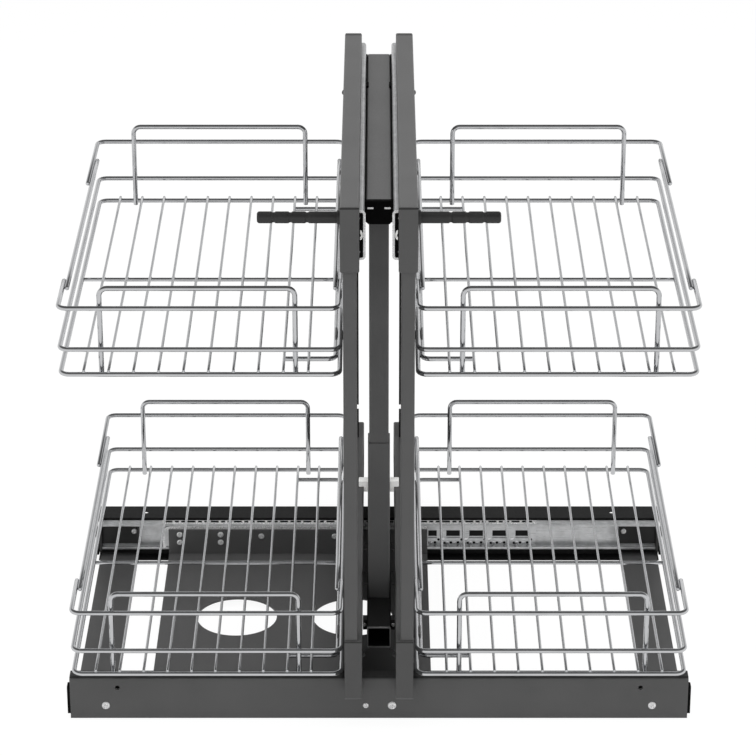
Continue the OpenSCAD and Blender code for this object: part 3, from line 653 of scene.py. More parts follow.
def lathe(
    shape: Shape, profile: np.ndarray, origin: Sequence[float], axis: Sequence[float], sides: int
) -> None:
    """Turns a profile round a line.

    Point (i, j) is origin + s_i * axis + r_i * (cos a_j * p + sin a_j * q), with p and q at right angles
    to the axis.

    Args:
        shape: the shape that gets the turned surface.
        profile: N by 2 points (s, r).
        origin: where s is 0.
        axis: the unit direction of s.
        sides: the number of points round.
    """
    axis = np.asarray(axis, float)
    p = np.cross(axis, np.eye(3)[np.argmin(np.abs(axis))])
    p /= np.linalg.norm(p)
    q = np.cross(axis, p)
    angle = np.linspace(0, 2 * np.pi, sides, endpoint=False)[None, :, None]
    s, r = profile[:, 0][:, None, None], profile[:, 1][:, None, None]
    shape.grid(np.asarray(origin) + s * axis + r * (np.cos(angle) * p + np.sin(angle) * q))


def disc(radius: float, thick: float) -> np.ndarray:
    """The profile of a thin disc for the lathe: up its edge and in to its middle."""
    return np.array([(0.0, radius), (thick, radius), (thick, POLE)])


def prism(shape: Shape, outline: np.ndarray, axes: str, low: float, high: float) -> None:
    """Extrudes an outline along the axis that it faces.

    The shoelace sum of x_i * y_(i+1) - x_(i+1) * y_i tells which way the outline turns, and it is
    reversed where its faces would look inwards.

    Args:
        shape: the shape that gets the prism.
        outline: N by 2 points.
        axes: the two axes that they lie on.
        low: where the prism starts on the third axis.
        high: where it ends.
    """
    x, y = outline.T
    turn = (x * np.roll(y, -1) - np.roll(x, -1) * y).sum()
    if (turn < 0) != (axes == "xz"):
        outline = outline[::-1]
    shape.grid(np.stack([lift(outline, axes, level) for level in (low, high)]))


def band(path: np.ndarray, width: float) -> np.ndarray:
    """Draws the outline of a strip along a path.

    Its points are path + normal * width / 2 there and path - normal * width / 2 back.

    Args:
        path: N by 2 points along the strip's middle.
        width: the strip's width.

    Returns:
        The outline, 2 N by 2.
    """
    tangent = np.gradient(path, axis=0)
    tangent /= np.linalg.norm(tangent, axis=1, keepdims=True)
    normal = np.stack([-tangent[:, 1], tangent[:, 0]], -1) * width / 2
    return np.vstack([path + normal, (path - normal)[::-1]])


def rectangle(x0: float, y0: float, x1: float, y1: float) -> np.ndarray:
    """A rectangle's outline."""
    return np.array([(x0, y0), (x1, y0), (x1, y1), (x0, y1)], float)


# ---- wire baskets ----


@dataclass
class Basket:
    """A wire basket: floor, two rims and two guards, drawn on the right and mirrored on the left.

    Its outline and place come from its nodes, and its other sizes are in millimetres.
    """

    side: Side
    level: Level
    rim_wire: float = 5.0
    guard_wire: float = 5.4
    grid_wire: float = 3.0
    cross_wire: float = 4.2
    # The outer radius of the rings' corners.
    corner: float = 12.0
    # How far the top rim's front and back bows run along the sides, and the side wires along the bows.
    front_leg: float = 75.0
    back_leg: float = 140.0
    front_lap: float = 20.0
    back_lap: float = 75.0
    # The height of the middle ring and of the top rim over the floor ring.
    mid_rise: float = 27.5
    top_rise: float = 72.5
    # The floor wires, how far they lie off the middle and how far they end past the ring's middle line.
    grid_count: int = 10
    grid_pitch: float = 25.4
    grid_shift: float = 4.0
    grid_over: float = 0.5
    # How far the cross wire lies behind the middle.
    cross_shift: float = 6.0
    # The brace on the mast's side: its arms, its ends' distance from the front and back, its corners.
    brace_arm: float = 52.0
    brace_ends: tuple[float, float] = (40.0, 28.0)
    brace_radius: float = 8.0
    guard_radius: float = 8.0
    guard_dome: float = 0.35
    # How deep a wire is pressed into one beside it, and the air between it and one that it lies on.
    press: float = 0.4
    air: float = 0.1
    weld_half: float = 2.2
    weld_height: float = 1.2
    # Points along the straight wires and round the thin ones.
    side_points: int = 8
    cross_points: int = 12
    grid_points: int = 20
    grid_sides: int = 12
    weld_points: int = 6
    weld_sides: int = 10

    def __post_init__(self) -> None:
        """Reads the basket's place from the frame and works out what several wires share."""
        half = self.rim_wire / 2
        low, high = node_box(self.node("floor"), self.side)
        self.x0, self.x1 = low[0] + half, high[0] - half
        self.y0, self.y1 = low[1] + half, high[1] - half
        self.z = low[2] + half
        self.bend = self.corner - half
        self.beside = self.rim_wire - self.press
        guard_half = self.guard_wire / 2
        low, high = node_box(self.node("guards"), self.side)
        self.guard_x = (low[0] + guard_half, high[0] - guard_half)
        self.guard_z = (low[2], high[2] - guard_half)
        grid_half = (self.grid_count - 1) * self.grid_pitch / 2
        self.grid_x0 = (self.x0 + self.x1) / 2 + self.grid_shift - grid_half
        self.body = f"{self.side.word}_pullout"

    def node(self, part: str) -> str:
        """The name of one of the basket's nodes."""
        return f"{self.side.word}_{self.level.value}_{part}"

    def ring(self, shape: Shape, z: float) -> None:
        """Adds a closed ring of rim wire round the basket's outline.

        Args:
            shape: the shape that gets the ring.
            z: its height.
        """
        corners = rectangle(self.x0, self.y0, self.x1, self.y1)
        path = rounded(corners, self.bend, closed=True)
        wire(shape, lift(path, "xy", z), 2, self.rim_wire, closed=True)

    def build_rim(self) -> None:
        """Builds the middle ring and the top rim, whose two bows lap on side wires."""
        shape = Shape(self.side)
        self.ring(shape, self.z + self.mid_rise)
        z = self.z + self.top_rise
        front_end, back_end = self.y0 + self.front_leg, self.y1 - self.back_leg
        for end, edge in ((front_end, self.y0), (back_end, self.y1)):
            bow = [(self.x0, end), (self.x0, edge), (self.x1, edge), (self.x1, end)]
            wire(shape, lift(rounded(bow, self.bend), "xy", z), 2, self.rim_wire)
        lap_start, lap_end = front_end - self.front_lap, back_end + self.back_lap
        for x in (self.x0 + self.beside, self.x1 - self.beside):
            straight = np.linspace([x, lap_start], [x, lap_end], self.side_points)
            wire(shape, lift(straight, "xy", z), 2, self.rim_wire)
        shape.make(self.node("rim_wires"), self.body, "chrome_wire", CHROME, self.node("rim"))

    def build_floor(self) -> None:
        """Builds the floor ring, the floor wires, the cross wire, the brace and the welds."""
        shape = Shape(self.side)
        self.ring(shape, self.z)
        self.add_floor_wires(shape)
        middle = (self.y0 + self.y1) / 2 + self.cross_shift
        across = np.linspace([self.x0, middle], [self.x1, middle], self.cross_points)
        wire(shape, lift(across, "xy", self.z), 2, self.cross_wire)
        x = self.x0 + self.beside
        tip = x + self.brace_arm
        front, back = self.y0 + self.brace_ends[0], self.y1 - self.brace_ends[1]
        brace = rounded([(tip, front), (x, front), (x, back), (tip, back)], self.brace_radius)
        wire(shape, lift(brace, "xy", self.z), 2, self.rim_wire)
        self.add_welds(shape, (self.y0, middle, self.y1))
        shape.make(self.node("floor_wires"), self.body, "chrome_wire", CHROME, self.node("floor"))

    def add_floor_wires(self, shape: Shape) -> None:
        """Adds the straight wires that lie on the floor ring and end just past it.

        Args:
            shape: the shape that gets them.
        """
        z = self.z + (self.rim_wire + self.grid_wire) / 2 + self.air
        start, end = [self.y0 - self.grid_over, z], [self.y1 + self.grid_over, z]
        for i in range(self.grid_count):
            path = np.linspace(start, end, self.grid_points)
            x = self.grid_x0 + i * self.grid_pitch
            wire(shape, lift(path, "yz", x), 0, self.grid_wire, sides=self.grid_sides)

    def add_welds(self, shape: Shape, lines: Sequence[float]) -> None:
        """Adds a small bead where each floor wire crosses a wire below it.

        At half * (2 t - 1) along X the bead's radius is height * sin(pi * t), for t from 0.05 to 0.95.

        Args:
            shape: the shape that gets the beads.
            lines: where the wires below lie in Y.
        """
        t = np.linspace(0.05, 0.95, self.weld_points)
        profile = np.stack([self.weld_half * (2 * t - 1), self.weld_height * np.sin(np.pi * t)], -1)
        z = self.z + self.rim_wire / 2 + self.air
        for i in range(self.grid_count):
            x = self.grid_x0 + i * self.grid_pitch
            for y in lines:
                lathe(shape, profile, (x, y, z), (1, 0, 0), self.weld_sides)

    def build_guards(self) -> None:
        """Builds the two guards: upturned bows of thicker wire inside the front and the back."""
        shape = Shape(self.side)
        offset = (self.rim_wire + self.guard_wire) / 2 + self.air
        (x0, x1), (low, high) = self.guard_x, self.guard_z
        path = rounded([(x0, low), (x0, high), (x1, high), (x1, low)], self.guard_radius)
        for y in (self.y0 + offset, self.y1 - offset):
            wire(shape, lift(path, "xz", y), 1, self.guard_wire, dome=self.guard_dome)
        shape.make(self.node("guard_bows"), self.body, "chrome_wire", CHROME, self.node("guards"))

    def build(self) -> None:
        """Builds the whole basket."""
        self.build_floor()
        self.build_rim()
        self.build_guards()


# ---- grips and screws ----


@dataclass
class Grip:
    """The black grip that stands out sideways from a pull-out frame's front corner."""

    side: Side
    groove: float = 0.9
    groove_half: float = 1.6
    # Where the grooves lie, as shares of the grip's length.
    groove_places: tuple[float, ...] = (0.395, 0.595, 0.8)
    collar: float = 3.0
    collar_rise: float = 1.5
    collar_edge: float = 0.6
    # How far past the collar the bar's first ring lies.
    bar_start: float = 0.8
    end_radius: float = 2.6
    # The flat at the bar's end, as a share of its radius.
    end_flat: float = 0.3
    points: int = 150
    sides: int = 48

    def profile(self, length: float, radius: float) -> np.ndarray:
        """Draws radius against length: a collar, a bar with smooth grooves and a softly rounded end.

        The bar's radius is radius - groove * sum of exp(-((s - g) / half)^4) over the grooves g. The
        end is a quarter circle, whose first point is left to the bar.

        Args:
            length: the grip's length with its collar.
            radius: the bar's radius.

        Returns:
            The profile, N by 2 points of length and radius.
        """
        round_start = length - self.end_radius
        s = np.linspace(self.collar + self.bar_start, round_start, self.points)
        places = np.array(self.groove_places) * length
        dip = np.exp(-(((s[:, None] - places) / self.groove_half) ** 4)).sum(1)
        bar = np.stack([s, radius - self.groove * dip], -1)
        top, edge = radius + self.collar_rise, self.collar_edge
        foot = [(0, top), (self.collar - edge, top), (self.collar, top - edge), (self.collar, radius)]
        turn = np.radians(np.linspace(12, 90, 8))
        out, drop = self.end_radius * np.sin(turn), self.end_radius * (1 - np.cos(turn))
        end = np.stack([round_start + out, radius - drop], -1)
        return np.vstack([foot, bar, end, [(length, radius * self.end_flat)]])

    def build(self) -> None:
        """Builds the grip in the place of its node."""
        node = f"{self.side.word}_handle"
        low, high = node_box(node, self.side)
        radius = (high[2] - low[2]) / 2 - self.collar_rise
        centre = (low[0], (low[1] + high[1]) / 2, (low[2] + high[2]) / 2)
        shape = Shape(self.side)
        lathe(shape, self.profile(high[0] - low[0], radius), centre, (1, 0, 0), self.sides)
        word = self.side.word
        shape.make(f"{word}_grip", f"{word}_pullout", "black_plastic", BLACK_PLASTIC, node)


@dataclass(frozen=True)
class Screw:
    """A pan head with a cross recess, in millimetres. Its shares are of the head's radius or height."""

    place: tuple[float, float, float]
    facing: tuple[float, float, float]
    width: float
    height: float = 1.8
    # How far the recess is turned, in radians; any number does for a screw that stopped where it did.
    turn: float = 20.0
    # The half width and the reach of the recess's arms, and where the recess ends at the latest.
    arm_half: float = 0.17
    arm_reach: float = 0.6
    recess_end: float = 0.9
    recess_depth: float = 0.8
    rim_height: float = 0.35
    rings: int = 15
    sides: int = 48

    def add_to(self, shape: Shape) -> None:
        """Adds the head to a shape.

        Over the radius r, as a share of the head's, and the angle a, the head stands
        height * ((1 - r^3)^0.5 - depth * arm) high, where arm = max(f(x, y), f(y, x)) for
        f(x, y) = exp(-(x / half)^4 - (y / reach)^8) and x, y are r times the cosine and sine of
        a - turn. The rings lie on the rim, just inside it, and then in equal steps of r^2.

        Args:
            shape: the shape that gets the head.
        """
        inner = np.sqrt(np.linspace(0.96, 0.0009, self.rings))
        share = np.concatenate([[1.0, 0.995], inner])[:, None]
        angle = np.linspace(0, 2 * np.pi, self.sides, endpoint=False)[None]
        x, y = (share * turned for turned in (np.cos(angle - self.turn), np.sin(angle - self.turn)))
        half, reach = self.arm_half, self.arm_reach
        arms = [np.exp(-((p / half) ** 4) - (q / reach) ** 8) for p, q in ((x, y), (y, x))]
        dome = np.sqrt(1 - share**3)
        dome[0], dome[1] = 0.0, self.rim_height
        recess = self.recess_depth * np.maximum(*arms) * (share < self.recess_end)
        rise = self.height * (dome - recess)
        facing = np.asarray(self.facing, float)
        p = np.cross(facing, np.eye(3)[np.argmin(np.abs(facing))])
        q = np.cross(facing, p)
        around = np.cos(angle)[..., None] * p + np.sin(angle)[..., None] * q
        flat = self.width / 2 * share[..., None] * around
        shape.grid(np.asarray(self.place) + flat + rise[..., None] * facing)


@dataclass
class ScrewSets:
    """The screws of the floor frame and of the carriage, in the places of their nodes.

    A size is a head's width and height. A pair of faces is the front one, which looks back, and the
    rear one, which looks forward.
    """

    # The front beam's face and height, and the X, width and turn of each screw in it.
    beam_face: float = -8.0
    beam_z: float = 15.5
    beam_screws: tuple[tuple[float, float, float], ...] = (
        (-292.0, 8.6, 0.5), (-14.0, 6.2, 1.1), (14.0, 9.0, 0.2), (292.0, 8.6, 0.9),
    )
    # The end stops' screws in the tracks.
    stop_x: float = 287.95
    stop_z: float = 34.0
    stop_faces: tuple[float, float] = (-1.5, 372.0)
    stop_size: tuple[float, float] = (6.5, 1.6)
    # The screws of the plate's flanges: their distances from the flange's middle, and their heights.
    flange_middle: float = -95.0
    flange_steps: tuple[float, ...] = (139.0, 91.0, 43.0)
    flange_heights: tuple[tuple[float, ...], ...] = ((24.0, 34.0), (24.0, 34.0), (32.0,))
    flange_faces: tuple[float, float] = (7.5, 363.0)
    flange_size: tuple[float, float] = (7.0, 1.5)
    # The bolts that hold the mast's feet on the plate.
    foot_x: float = 43.0
    foot_y: tuple[float, float] = (30.0, 343.0)
    foot_z: float = 11.0
    foot_size: tuple[float, float] = (9.0, 3.0)
    # The screws of the front guide pads.
    pad_place: tuple[float, float, float] = (15.45, 76.0, 68.0)
    pad_size: tuple[float, float] = (4.0, 1.5)

    def build_base(self) -> None:
        """Builds the four screws of the front beam and one at each end stop."""
        shape = Shape()
        for x, width, turn in self.beam_screws:
            Screw((x, self.beam_face, self.beam_z), (0, -1, 0), width, turn=turn).add_to(shape)
        for x in (-self.stop_x, self.stop_x):
            for y, way in zip(self.stop_faces, (1, -1), strict=True):
                Screw((x, y, self.stop_z), (0, way, 0), *self.stop_size).add_to(shape)
        shape.make("base_screw_heads", "base", "zinc_steel", ZINC, "base_screws")

    def build_carriage(self) -> None:
        """Builds the screws of the plate's flanges, the mast's feet and the front guide pads."""
        shape = Shape()
        for sign in (-1, 1):
            self.add_flange_screws(shape, sign)
            for y in self.foot_y:
                place = (sign * self.foot_x, y, self.foot_z)
                Screw(place, (0, 0, 1), *self.foot_size, turn=0.3 * y).add_to(shape)
            x, y, z = self.pad_place
            Screw((sign * x, y, z), (0, -1, 0), *self.pad_size).add_to(shape)
        shape.make("carriage_screw_heads", "carriage", "zinc_steel", ZINC, "carriage_screws")

    def add_flange_screws(self, shape: Shape, sign: int) -> None:
        """Adds the screws of half of both flanges, each turned by its own place.

        Args:
            shape: the shape that gets the heads.
            sign: -1 for the left half and 1 for the right one.
        """
        for step, heights in zip(self.flange_steps, self.flange_heights, strict=True):
            x = self.flange_middle + sign * step
            for z in heights:
                for y, way in zip(self.flange_faces, (1, -1), strict=True):
                    turn = 0.01 * z * step
                    Screw((x, y, z), (0, way, 0), *self.flange_size, turn=turn).add_to(shape)


# ---- small parts of the tracks, the slides and the mast ----


@dataclass
class TrackTrim:
    """What shows of a sideways track's cage and runner: combs, black painted shade in slots, windows and
    pockets, ball crowns and the runner's lip.
    """

    # The cages' ends, and their windows: the first one's X, the pitch and the number.
    cage_x: tuple[float, float] = (-255.0, 185.0)
    first_window: float = -239.0
    pitch: float = 27.2
    windows: int = 16
    # The two channels: their middle height, where their webs are and how far off these the cages' faces are.
    middle_z: float = 29.0
    rear_y: float = 377.0
    front_y: float = -6.5
    cage_face: float = 2.7
    # The centre of the rear channel's curl, out from its web and up from its middle.
    curl: tuple[float, float] = (6.0, 13.95)
    # Each sheet's radius round the curl, thickness, start of its level run and last angle.
    comb_sheet: tuple[float, float, float, float] = (4.2, 0.2, 2.8, 38.0)
    slot_sheet: tuple[float, float, float, float] = (4.34, 0.06, 4.2, 66.0)
    # Where the slots of one window start and how long they are.
    slots: tuple[tuple[float, float], ...] = ((-13.0, 9.4), (-0.9, 4.8), (6.6, 4.8))
    # The black sheets of painted shade behind the windows: their faces out from the web, their insets from
    # the cage's ends and their heights.
    shade_sheet_faces: tuple[float, float] = (1.5, 1.8)
    shade_sheet_insets: tuple[float, float] = (2.0, 7.0)
    shade_sheet_heights: tuple[float, float] = (-2.8, 7.0)
    # The black discs of painted shade behind the front beam's fixing holes.
    hole_shade_x: float = 279.0
    hole_shade_z: float = 37.0
    hole_shade_gap: float = 1.45
    hole_shade_radius: float = 4.5
    hole_shade_thick: float = 0.25
    # Each window's ball crowns, and its open pockets with black discs of painted shade, by X from the window
    # and height.
    crown_radius: float = 2.0
    crown_rise: float = 0.28
    crowns: tuple[tuple[float, float], ...] = ((-6.6, 17.9), (1.6, 17.7), (-12.0, 22.6))
    pocket_radius: float = 1.6
    pocket_thick: float = 0.06
    pockets: tuple[tuple[float, float], ...] = ((-2.4, 18.0), (6.0, 18.2), (10.2, 22.0), (-9.6, 17.6))
    # The rear runner's lip: its middle line, its bend, its width and its faces.
    runner_x: tuple[float, float] = (-252.0, 57.0)
    lip_over: float = 0.4
    lip_z: tuple[float, float] = (16.5, 41.7)
    lip_radius: float = 7.0
    lip_width: float = 3.0
    lip_faces: tuple[float, float] = (365.1, 366.4)

    def curl_section(self, radius: float, thick: float, start: float, last: float) -> np.ndarray:
        """Draws the section of a sheet that runs level and then round the rear channel's curl.

        Args:
            radius: the radius of the sheet's middle round the curl's centre.
            thick: its thickness.
            start: where its level run starts, out from the web.
            last: the angle in degrees at which its round ends; it starts at 90.

        Returns:
            The section's outline in Y and Z.
        """
        run = [(start, self.curl[1] + radius)]
        section = band(np.vstack([run, arc(self.curl, radius, 90, last, 8)]), thick)
        return np.stack([self.rear_y - section[:, 0], self.middle_z + section[:, 1]], -1)

    def build_comb(self) -> None:
        """Builds the comb of sheet that follows the rear channel's upper edge, and black painted shade in its
        slots.

        The comb lies 0.1 to 0.35 mm from the channel. Black patches of painted shade fill its slots, in
        threes, in step with the cage's windows.
        """
        comb, slots = Shape(), Shape()
        prism(comb, self.curl_section(*self.comb_sheet), "yz", *self.cage_x)
        # Black patches on a sheet just over the comb: painted shade in its slots.
        section = self.curl_section(*self.slot_sheet)
        for i in range(self.windows):
            for shift, length in self.slots:
                x = self.first_window + i * self.pitch + shift
                prism(slots, section, "yz", x, x + length)
        comb.make("rear_track_comb", "track_cage", "zinc_steel", ZINC)
        slots.make("rear_track_comb_slots", "track_cage", "black_plastic", PLUG_PLASTIC_AND_PAINTED_SHADE)

    def build_shade_sheets(self) -> None:
        """Builds the black sheets of painted shade that show through the cages' windows."""
        shape = Shape()
        x0, x1 = self.cage_x[0] + self.shade_sheet_insets[0], self.cage_x[1] - self.shade_sheet_insets[1]
        z0, z1 = (self.middle_z + height for height in self.shade_sheet_heights)
        for y, way in ((self.rear_y, -1), (self.front_y, 1)):
            low, high = sorted(y + way * face for face in self.shade_sheet_faces)
            prism(shape, rectangle(x0, z0, x1, z1), "xz", low, high)
        shape.make("track_cage_liners", "track_cage", "black_plastic", SHADE_SHEET_BLACK)

    def build_hole_shades(self) -> None:
        """Builds the thin black discs of painted shade behind the front beam's two fixing holes."""
        shape = Shape()
        for x in (-self.hole_shade_x, self.hole_shade_x):
            place = (x, self.front_y + self.hole_shade_gap, self.hole_shade_z)
            lathe(shape, disc(self.hole_shade_radius, self.hole_shade_thick), place, (0, 1, 0), 24)
        shape.make("front_hole_blinds", "base", "black_plastic", PLUG_PLASTIC_AND_PAINTED_SHADE)

    def build_pockets(self) -> None:
        """Builds the crowns of balls, and black discs of painted shade in the open pockets, along the lower
        half of each cage.

        A crown's profile is rise * sin a against radius * cos a.
        """
        crowns, pockets = Shape(), Shape()
        angle = np.radians(np.linspace(0, 85, 7))
        crown = np.stack([self.crown_rise * np.sin(angle), self.crown_radius * np.cos(angle)], -1)
        # The pockets' black discs: painted shade in the open holes.
        pocket = disc(self.pocket_radius, self.pocket_thick)
        for y, way in ((self.rear_y, -1), (self.front_y, 1)):
            face = y + way * self.cage_face
            for i in range(self.windows):
                x = self.first_window + i * self.pitch
                for shift, z in self.crowns:
                    lathe(crowns, crown, (x + shift, face, z), (0, way, 0), 14)
                for shift, z in self.pockets:
                    lathe(pockets, pocket, (x + shift, face, z), (0, way, 0), 12)
        crowns.make("track_ball_crowns", "track_cage", "zinc_steel", BALL_STEEL)
        pockets.make("track_cage_pockets", "track_cage", "black_plastic", PLUG_PLASTIC_AND_PAINTED_SHADE)

    def build_lip(self) -> None:
        """Builds the rear runner's upturned lip, which turns down round the plate flange's left end."""
        left, right = self.runner_x[0] - self.lip_over, self.runner_x[1]
        foot, top = self.lip_z
        path = rounded([(right, top), (left, top), (left, foot)], self.lip_radius)
        shape = Shape()
        prism(shape, band(path, self.lip_width), "xz", *self.lip_faces)
        shape.make("rear_runner_lip", "carriage", "galvanised_steel", ZINC)

    def build(self) -> None:
        """Builds all of it."""
        self.build_comb()
        self.build_shade_sheets()
        self.build_hole_shades()
        self.build_pockets()
        self.build_lip()


@dataclass
class SlideTrim:
    """What closes a telescopic slide and its rail: edge, black ends of painted shade and the rail's cap."""

    side: Side
    # The outer member's web, its lower and upper side and its front end, and how far in front of that
    # the closing pieces' backs are.
    web_x: float = 14.6
    low: float = 525.5
    high: float = 578.5
    front_y: float = -3.0
    gap: float = 0.05
    # The outer member's edge: its flange's end, its width, its bend and how thick it is.
    flange_x: float = 19.4
    edge_width: float = 2.4
    edge_radius: float = 3.0
    edge_thick: float = 0.6
    # The black ends of the middle and the inner member, which paint the shade in the slide's front: their
    # sides, their insets and how thick they are.
    middle_shade_x: tuple[float, float] = (16.5, 18.9)
    middle_shade_inset: float = 2.7
    end_x: tuple[float, float] = (19.0, 27.1)
    end_inset: float = 13.0
    end_thick: float = 0.5
    # The white catch: its centre in X and Z, the half axes of its two ellipses and how far it stands out.
    catch_centre: tuple[float, float] = (18.9, 552.6)
    catch_outer: tuple[float, float] = (2.6, 5.0)
    catch_inner: tuple[float, float] = (0.8, 1.9)
    catch_thick: float = 2.1
    # The cap on the rail's rear end: the rail's corners, their radius, and where it starts and ends.
    cap_x: tuple[float, float, float] = (19.9, 29.0, 38.7)
    cap_z: tuple[float, float, float] = (523.5, 579.9, 592.7)
    cap_radius: float = 1.4
    cap_y: tuple[float, float] = (537.03, 538.5)

    def build_edge(self) -> None:
        """Builds the bright front edge of the outer member."""
        face, half = self.front_y - self.gap, self.edge_width / 2
        low, high = self.low + half, self.high - half
        corners = [(self.flange_x, high), (self.web_x, high), (self.web_x, low), (self.flange_x, low)]
        shape = Shape(self.side)
        outline = band(rounded(corners, self.edge_radius), self.edge_width)
        prism(shape, outline, "xz", face - self.edge_thick, face)
        shape.make(f"{self.side.word}_slide_front_edge", "carriage", "galvanised_steel", ZINC)

    def build_ends(self) -> None:
        """Builds the black ends of painted shade on the middle and the inner member, and the white catch on
        the first.

        The catch is a crescent between two half ellipses, which the inner member's black end passes
        at 0.1 mm.
        """
        word = self.side.word
        face = self.front_y - self.gap
        front = face - self.end_thick
        # The black ends paint the shade in the slide's front, between its web and the corner.
        middle_shade = Shape(self.side)
        low, high = self.low + self.middle_shade_inset, self.high - self.middle_shade_inset
        prism(middle_shade, rectangle(self.middle_shade_x[0], low, self.middle_shade_x[1], high), "xz", front, face)
        middle_shade.make(f"{word}_slide_buffer", f"{word}_middle", "black_plastic", PLUG_PLASTIC_AND_PAINTED_SHADE)
        catch = Shape(self.side)
        half_circle = arc((0.0, 0.0), 1.0, 90, 270, 14)
        outer = half_circle * self.catch_outer + self.catch_centre
        inner = half_circle * self.catch_inner + self.catch_centre
        prism(catch, np.vstack([outer, inner[::-1]]), "xz", front - self.catch_thick, front)
        catch.make(f"{word}_slide_catch", f"{word}_middle", "white_nylon", WHITE_NYLON)
        end = Shape(self.side)
        low, high = self.low + self.end_inset, self.high - self.end_inset
        prism(end, rectangle(self.end_x[0], low, self.end_x[1], high), "xz", front, face)
        end.make(f"{word}_slide_end", f"{word}_pullout", "black_plastic", PLUG_PLASTIC_AND_PAINTED_SHADE)

    def build_cap(self) -> None:
        """Builds the black cap that closes the rail's rear end."""
        (left, step_x, right), (foot, step_z, top) = self.cap_x, self.cap_z
        corners = [(step_x, step_z), (left, step_z), (left, top), (right, top), (right, foot), (step_x, foot)]
        cap = Shape(self.side)
        prism(cap, rounded(corners, self.cap_radius, 5, closed=True), "xz", *self.cap_y)
        word = self.side.word
        cap.make(f"{word}_rail_cap", f"{word}_pullout", "black_plastic", PLUG_PLASTIC_AND_PAINTED_SHADE)

    def build(self) -> None:
        """Builds all of it."""
        self.build_edge()
        self.build_ends()
        self.build_cap()


@dataclass
class MastTrim:
    """Two bright zinc bars on the front face of the plug in the mast's upper rail."""

    height: float = 560.6
    # The tongues' inner and outer end, half height and corners, and where their front and back are.
    reach: tuple[float, float] = (5.6, 11.9)
    half: float = 0.9
    radius: float = 0.5
    faces: tuple[float, float] = (50.5, 50.98)

    def build(self) -> None:
        """Builds the tongues on the plug's front face."""
        shape = Shape()
        for sign in (-1, 1):
            x0, x1 = sorted(sign * x for x in self.reach)
            outline = rectangle(x0, self.height - self.half, x1, self.height + self.half)
            prism(shape, rounded(outline, self.radius, 4, closed=True), "xz", *self.faces)
        shape.make("mast_plug_tongues", "carriage", "zinc_steel", ZINC)


# ---- what the frame carries ----


class Dressing:
    """Gives every carried-over node its finish."""

    SHARED: ClassVar[dict[str, Finish]] = {
        "front_beam": FRONT_COAT_PAINTED_TOP_SHADE, "rear_beam": BLACK_COAT, "side_rails": BEAM_COAT,
        "beam_end_caps": PLUG_PLASTIC_AND_PAINTED_SHADE, "tracks": STRIP_WIDE, "track_end_stops": BLACK_PLASTIC,
        "base_screws": ZINC, "track_cages": STRIP_WIDE, "track_balls": BALL_STEEL,
        "carriage_plate": PLATE_COAT, "runners": STRIP_WIDE, "carriage_screws": ZINC,
        "mast_feet": PLATE_COAT, "mast_bottom_rail": BLACK_COAT_PAINTED_RIM_HIGHLIGHT, "mast_top_rail": FRAME_COAT,
        "mast_posts": FRAME_COAT, "mast_sleeves": BEAM_COAT, "mast_end_plugs": PLUG_PLASTIC_AND_PAINTED_SHADE,
        "guide_blocks": WHITE_NYLON, "front_guides": BLACK_PLASTIC,
    }
    SIDED: ClassVar[dict[str, Finish]] = {
        "outer_member": STRIP_LONG, "outer_cage": ZINC, "middle_member": STRIP_LONG, "inner_cage": ZINC,
        "inner_member": STRIP_LONG, "top_rail": RAIL_COAT, "bottom_rail": LOW_RAIL_PAINTED_SHADE_COAT,
        "front_post": FRAME_COAT, "rear_post": BLACK_COAT, "top_connector": CORNER_COAT,
        "bottom_connector": LOW_CORNER_PAINTED_SHADE_COAT, "frame_screws": CORNER_COAT, "basket_hooks": FRAME_COAT,
        "handle": BLACK_PLASTIC, "lower_floor": CHROME, "lower_rim": CHROME, "lower_guards": CHROME,
        "upper_floor": CHROME, "upper_rim": CHROME, "upper_guards": CHROME,
    }

    def finishes(self) -> dict[str, Finish]:
        """Every node's finish."""
        sided = {f"{s.word}_{part}": finish for s in Side for part, finish in self.SIDED.items()}
        return {**self.SHARED, **sided}

    def dress(self) -> None:
        """Puts the finishes on the nodes."""
        for name, finish in self.finishes().items():
            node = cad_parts[name]
            material = finish.material()
            for slot in node.material_slots:
                slot.material = material
            if not node.material_slots:
                node.data.materials.append(material)
            LOG.info("%s: %s", name, finish.name)


# ---- studio ----


@dataclass(frozen=True)
class Lamp:
    """A soft rectangular lamp, with its place, aim and size in metres and its power in watts."""

    name: str
    place: tuple[float, float, float]
    aim: tuple[float, float, float]
    size: tuple[float, float]
    power: float

    def build(self) -> None:
        """Makes the lamp and turns it to its aim."""
        data = bpy.data.lights.new(self.name, "AREA")
        data.shape = "RECTANGLE"
        data.size, data.size_y = self.size
        data.energy = self.power
        lamp = bpy.data.objects.new(self.name, data)
        lamp.location = self.place
        # Bright metal mirrors the room and not the lamps, so that its wires keep their dark line.
        lamp.visible_glossy = False
        direction = np.asarray(self.aim, float) - np.asarray(self.place, float)
        flat = math.hypot(direction[0], direction[1])
        lamp.rotation_euler = (math.atan2(flat, -direction[2]), 0.0, math.atan2(-direction[0], direction[1]))
        bpy.context.scene.collection.objects.link(lamp)


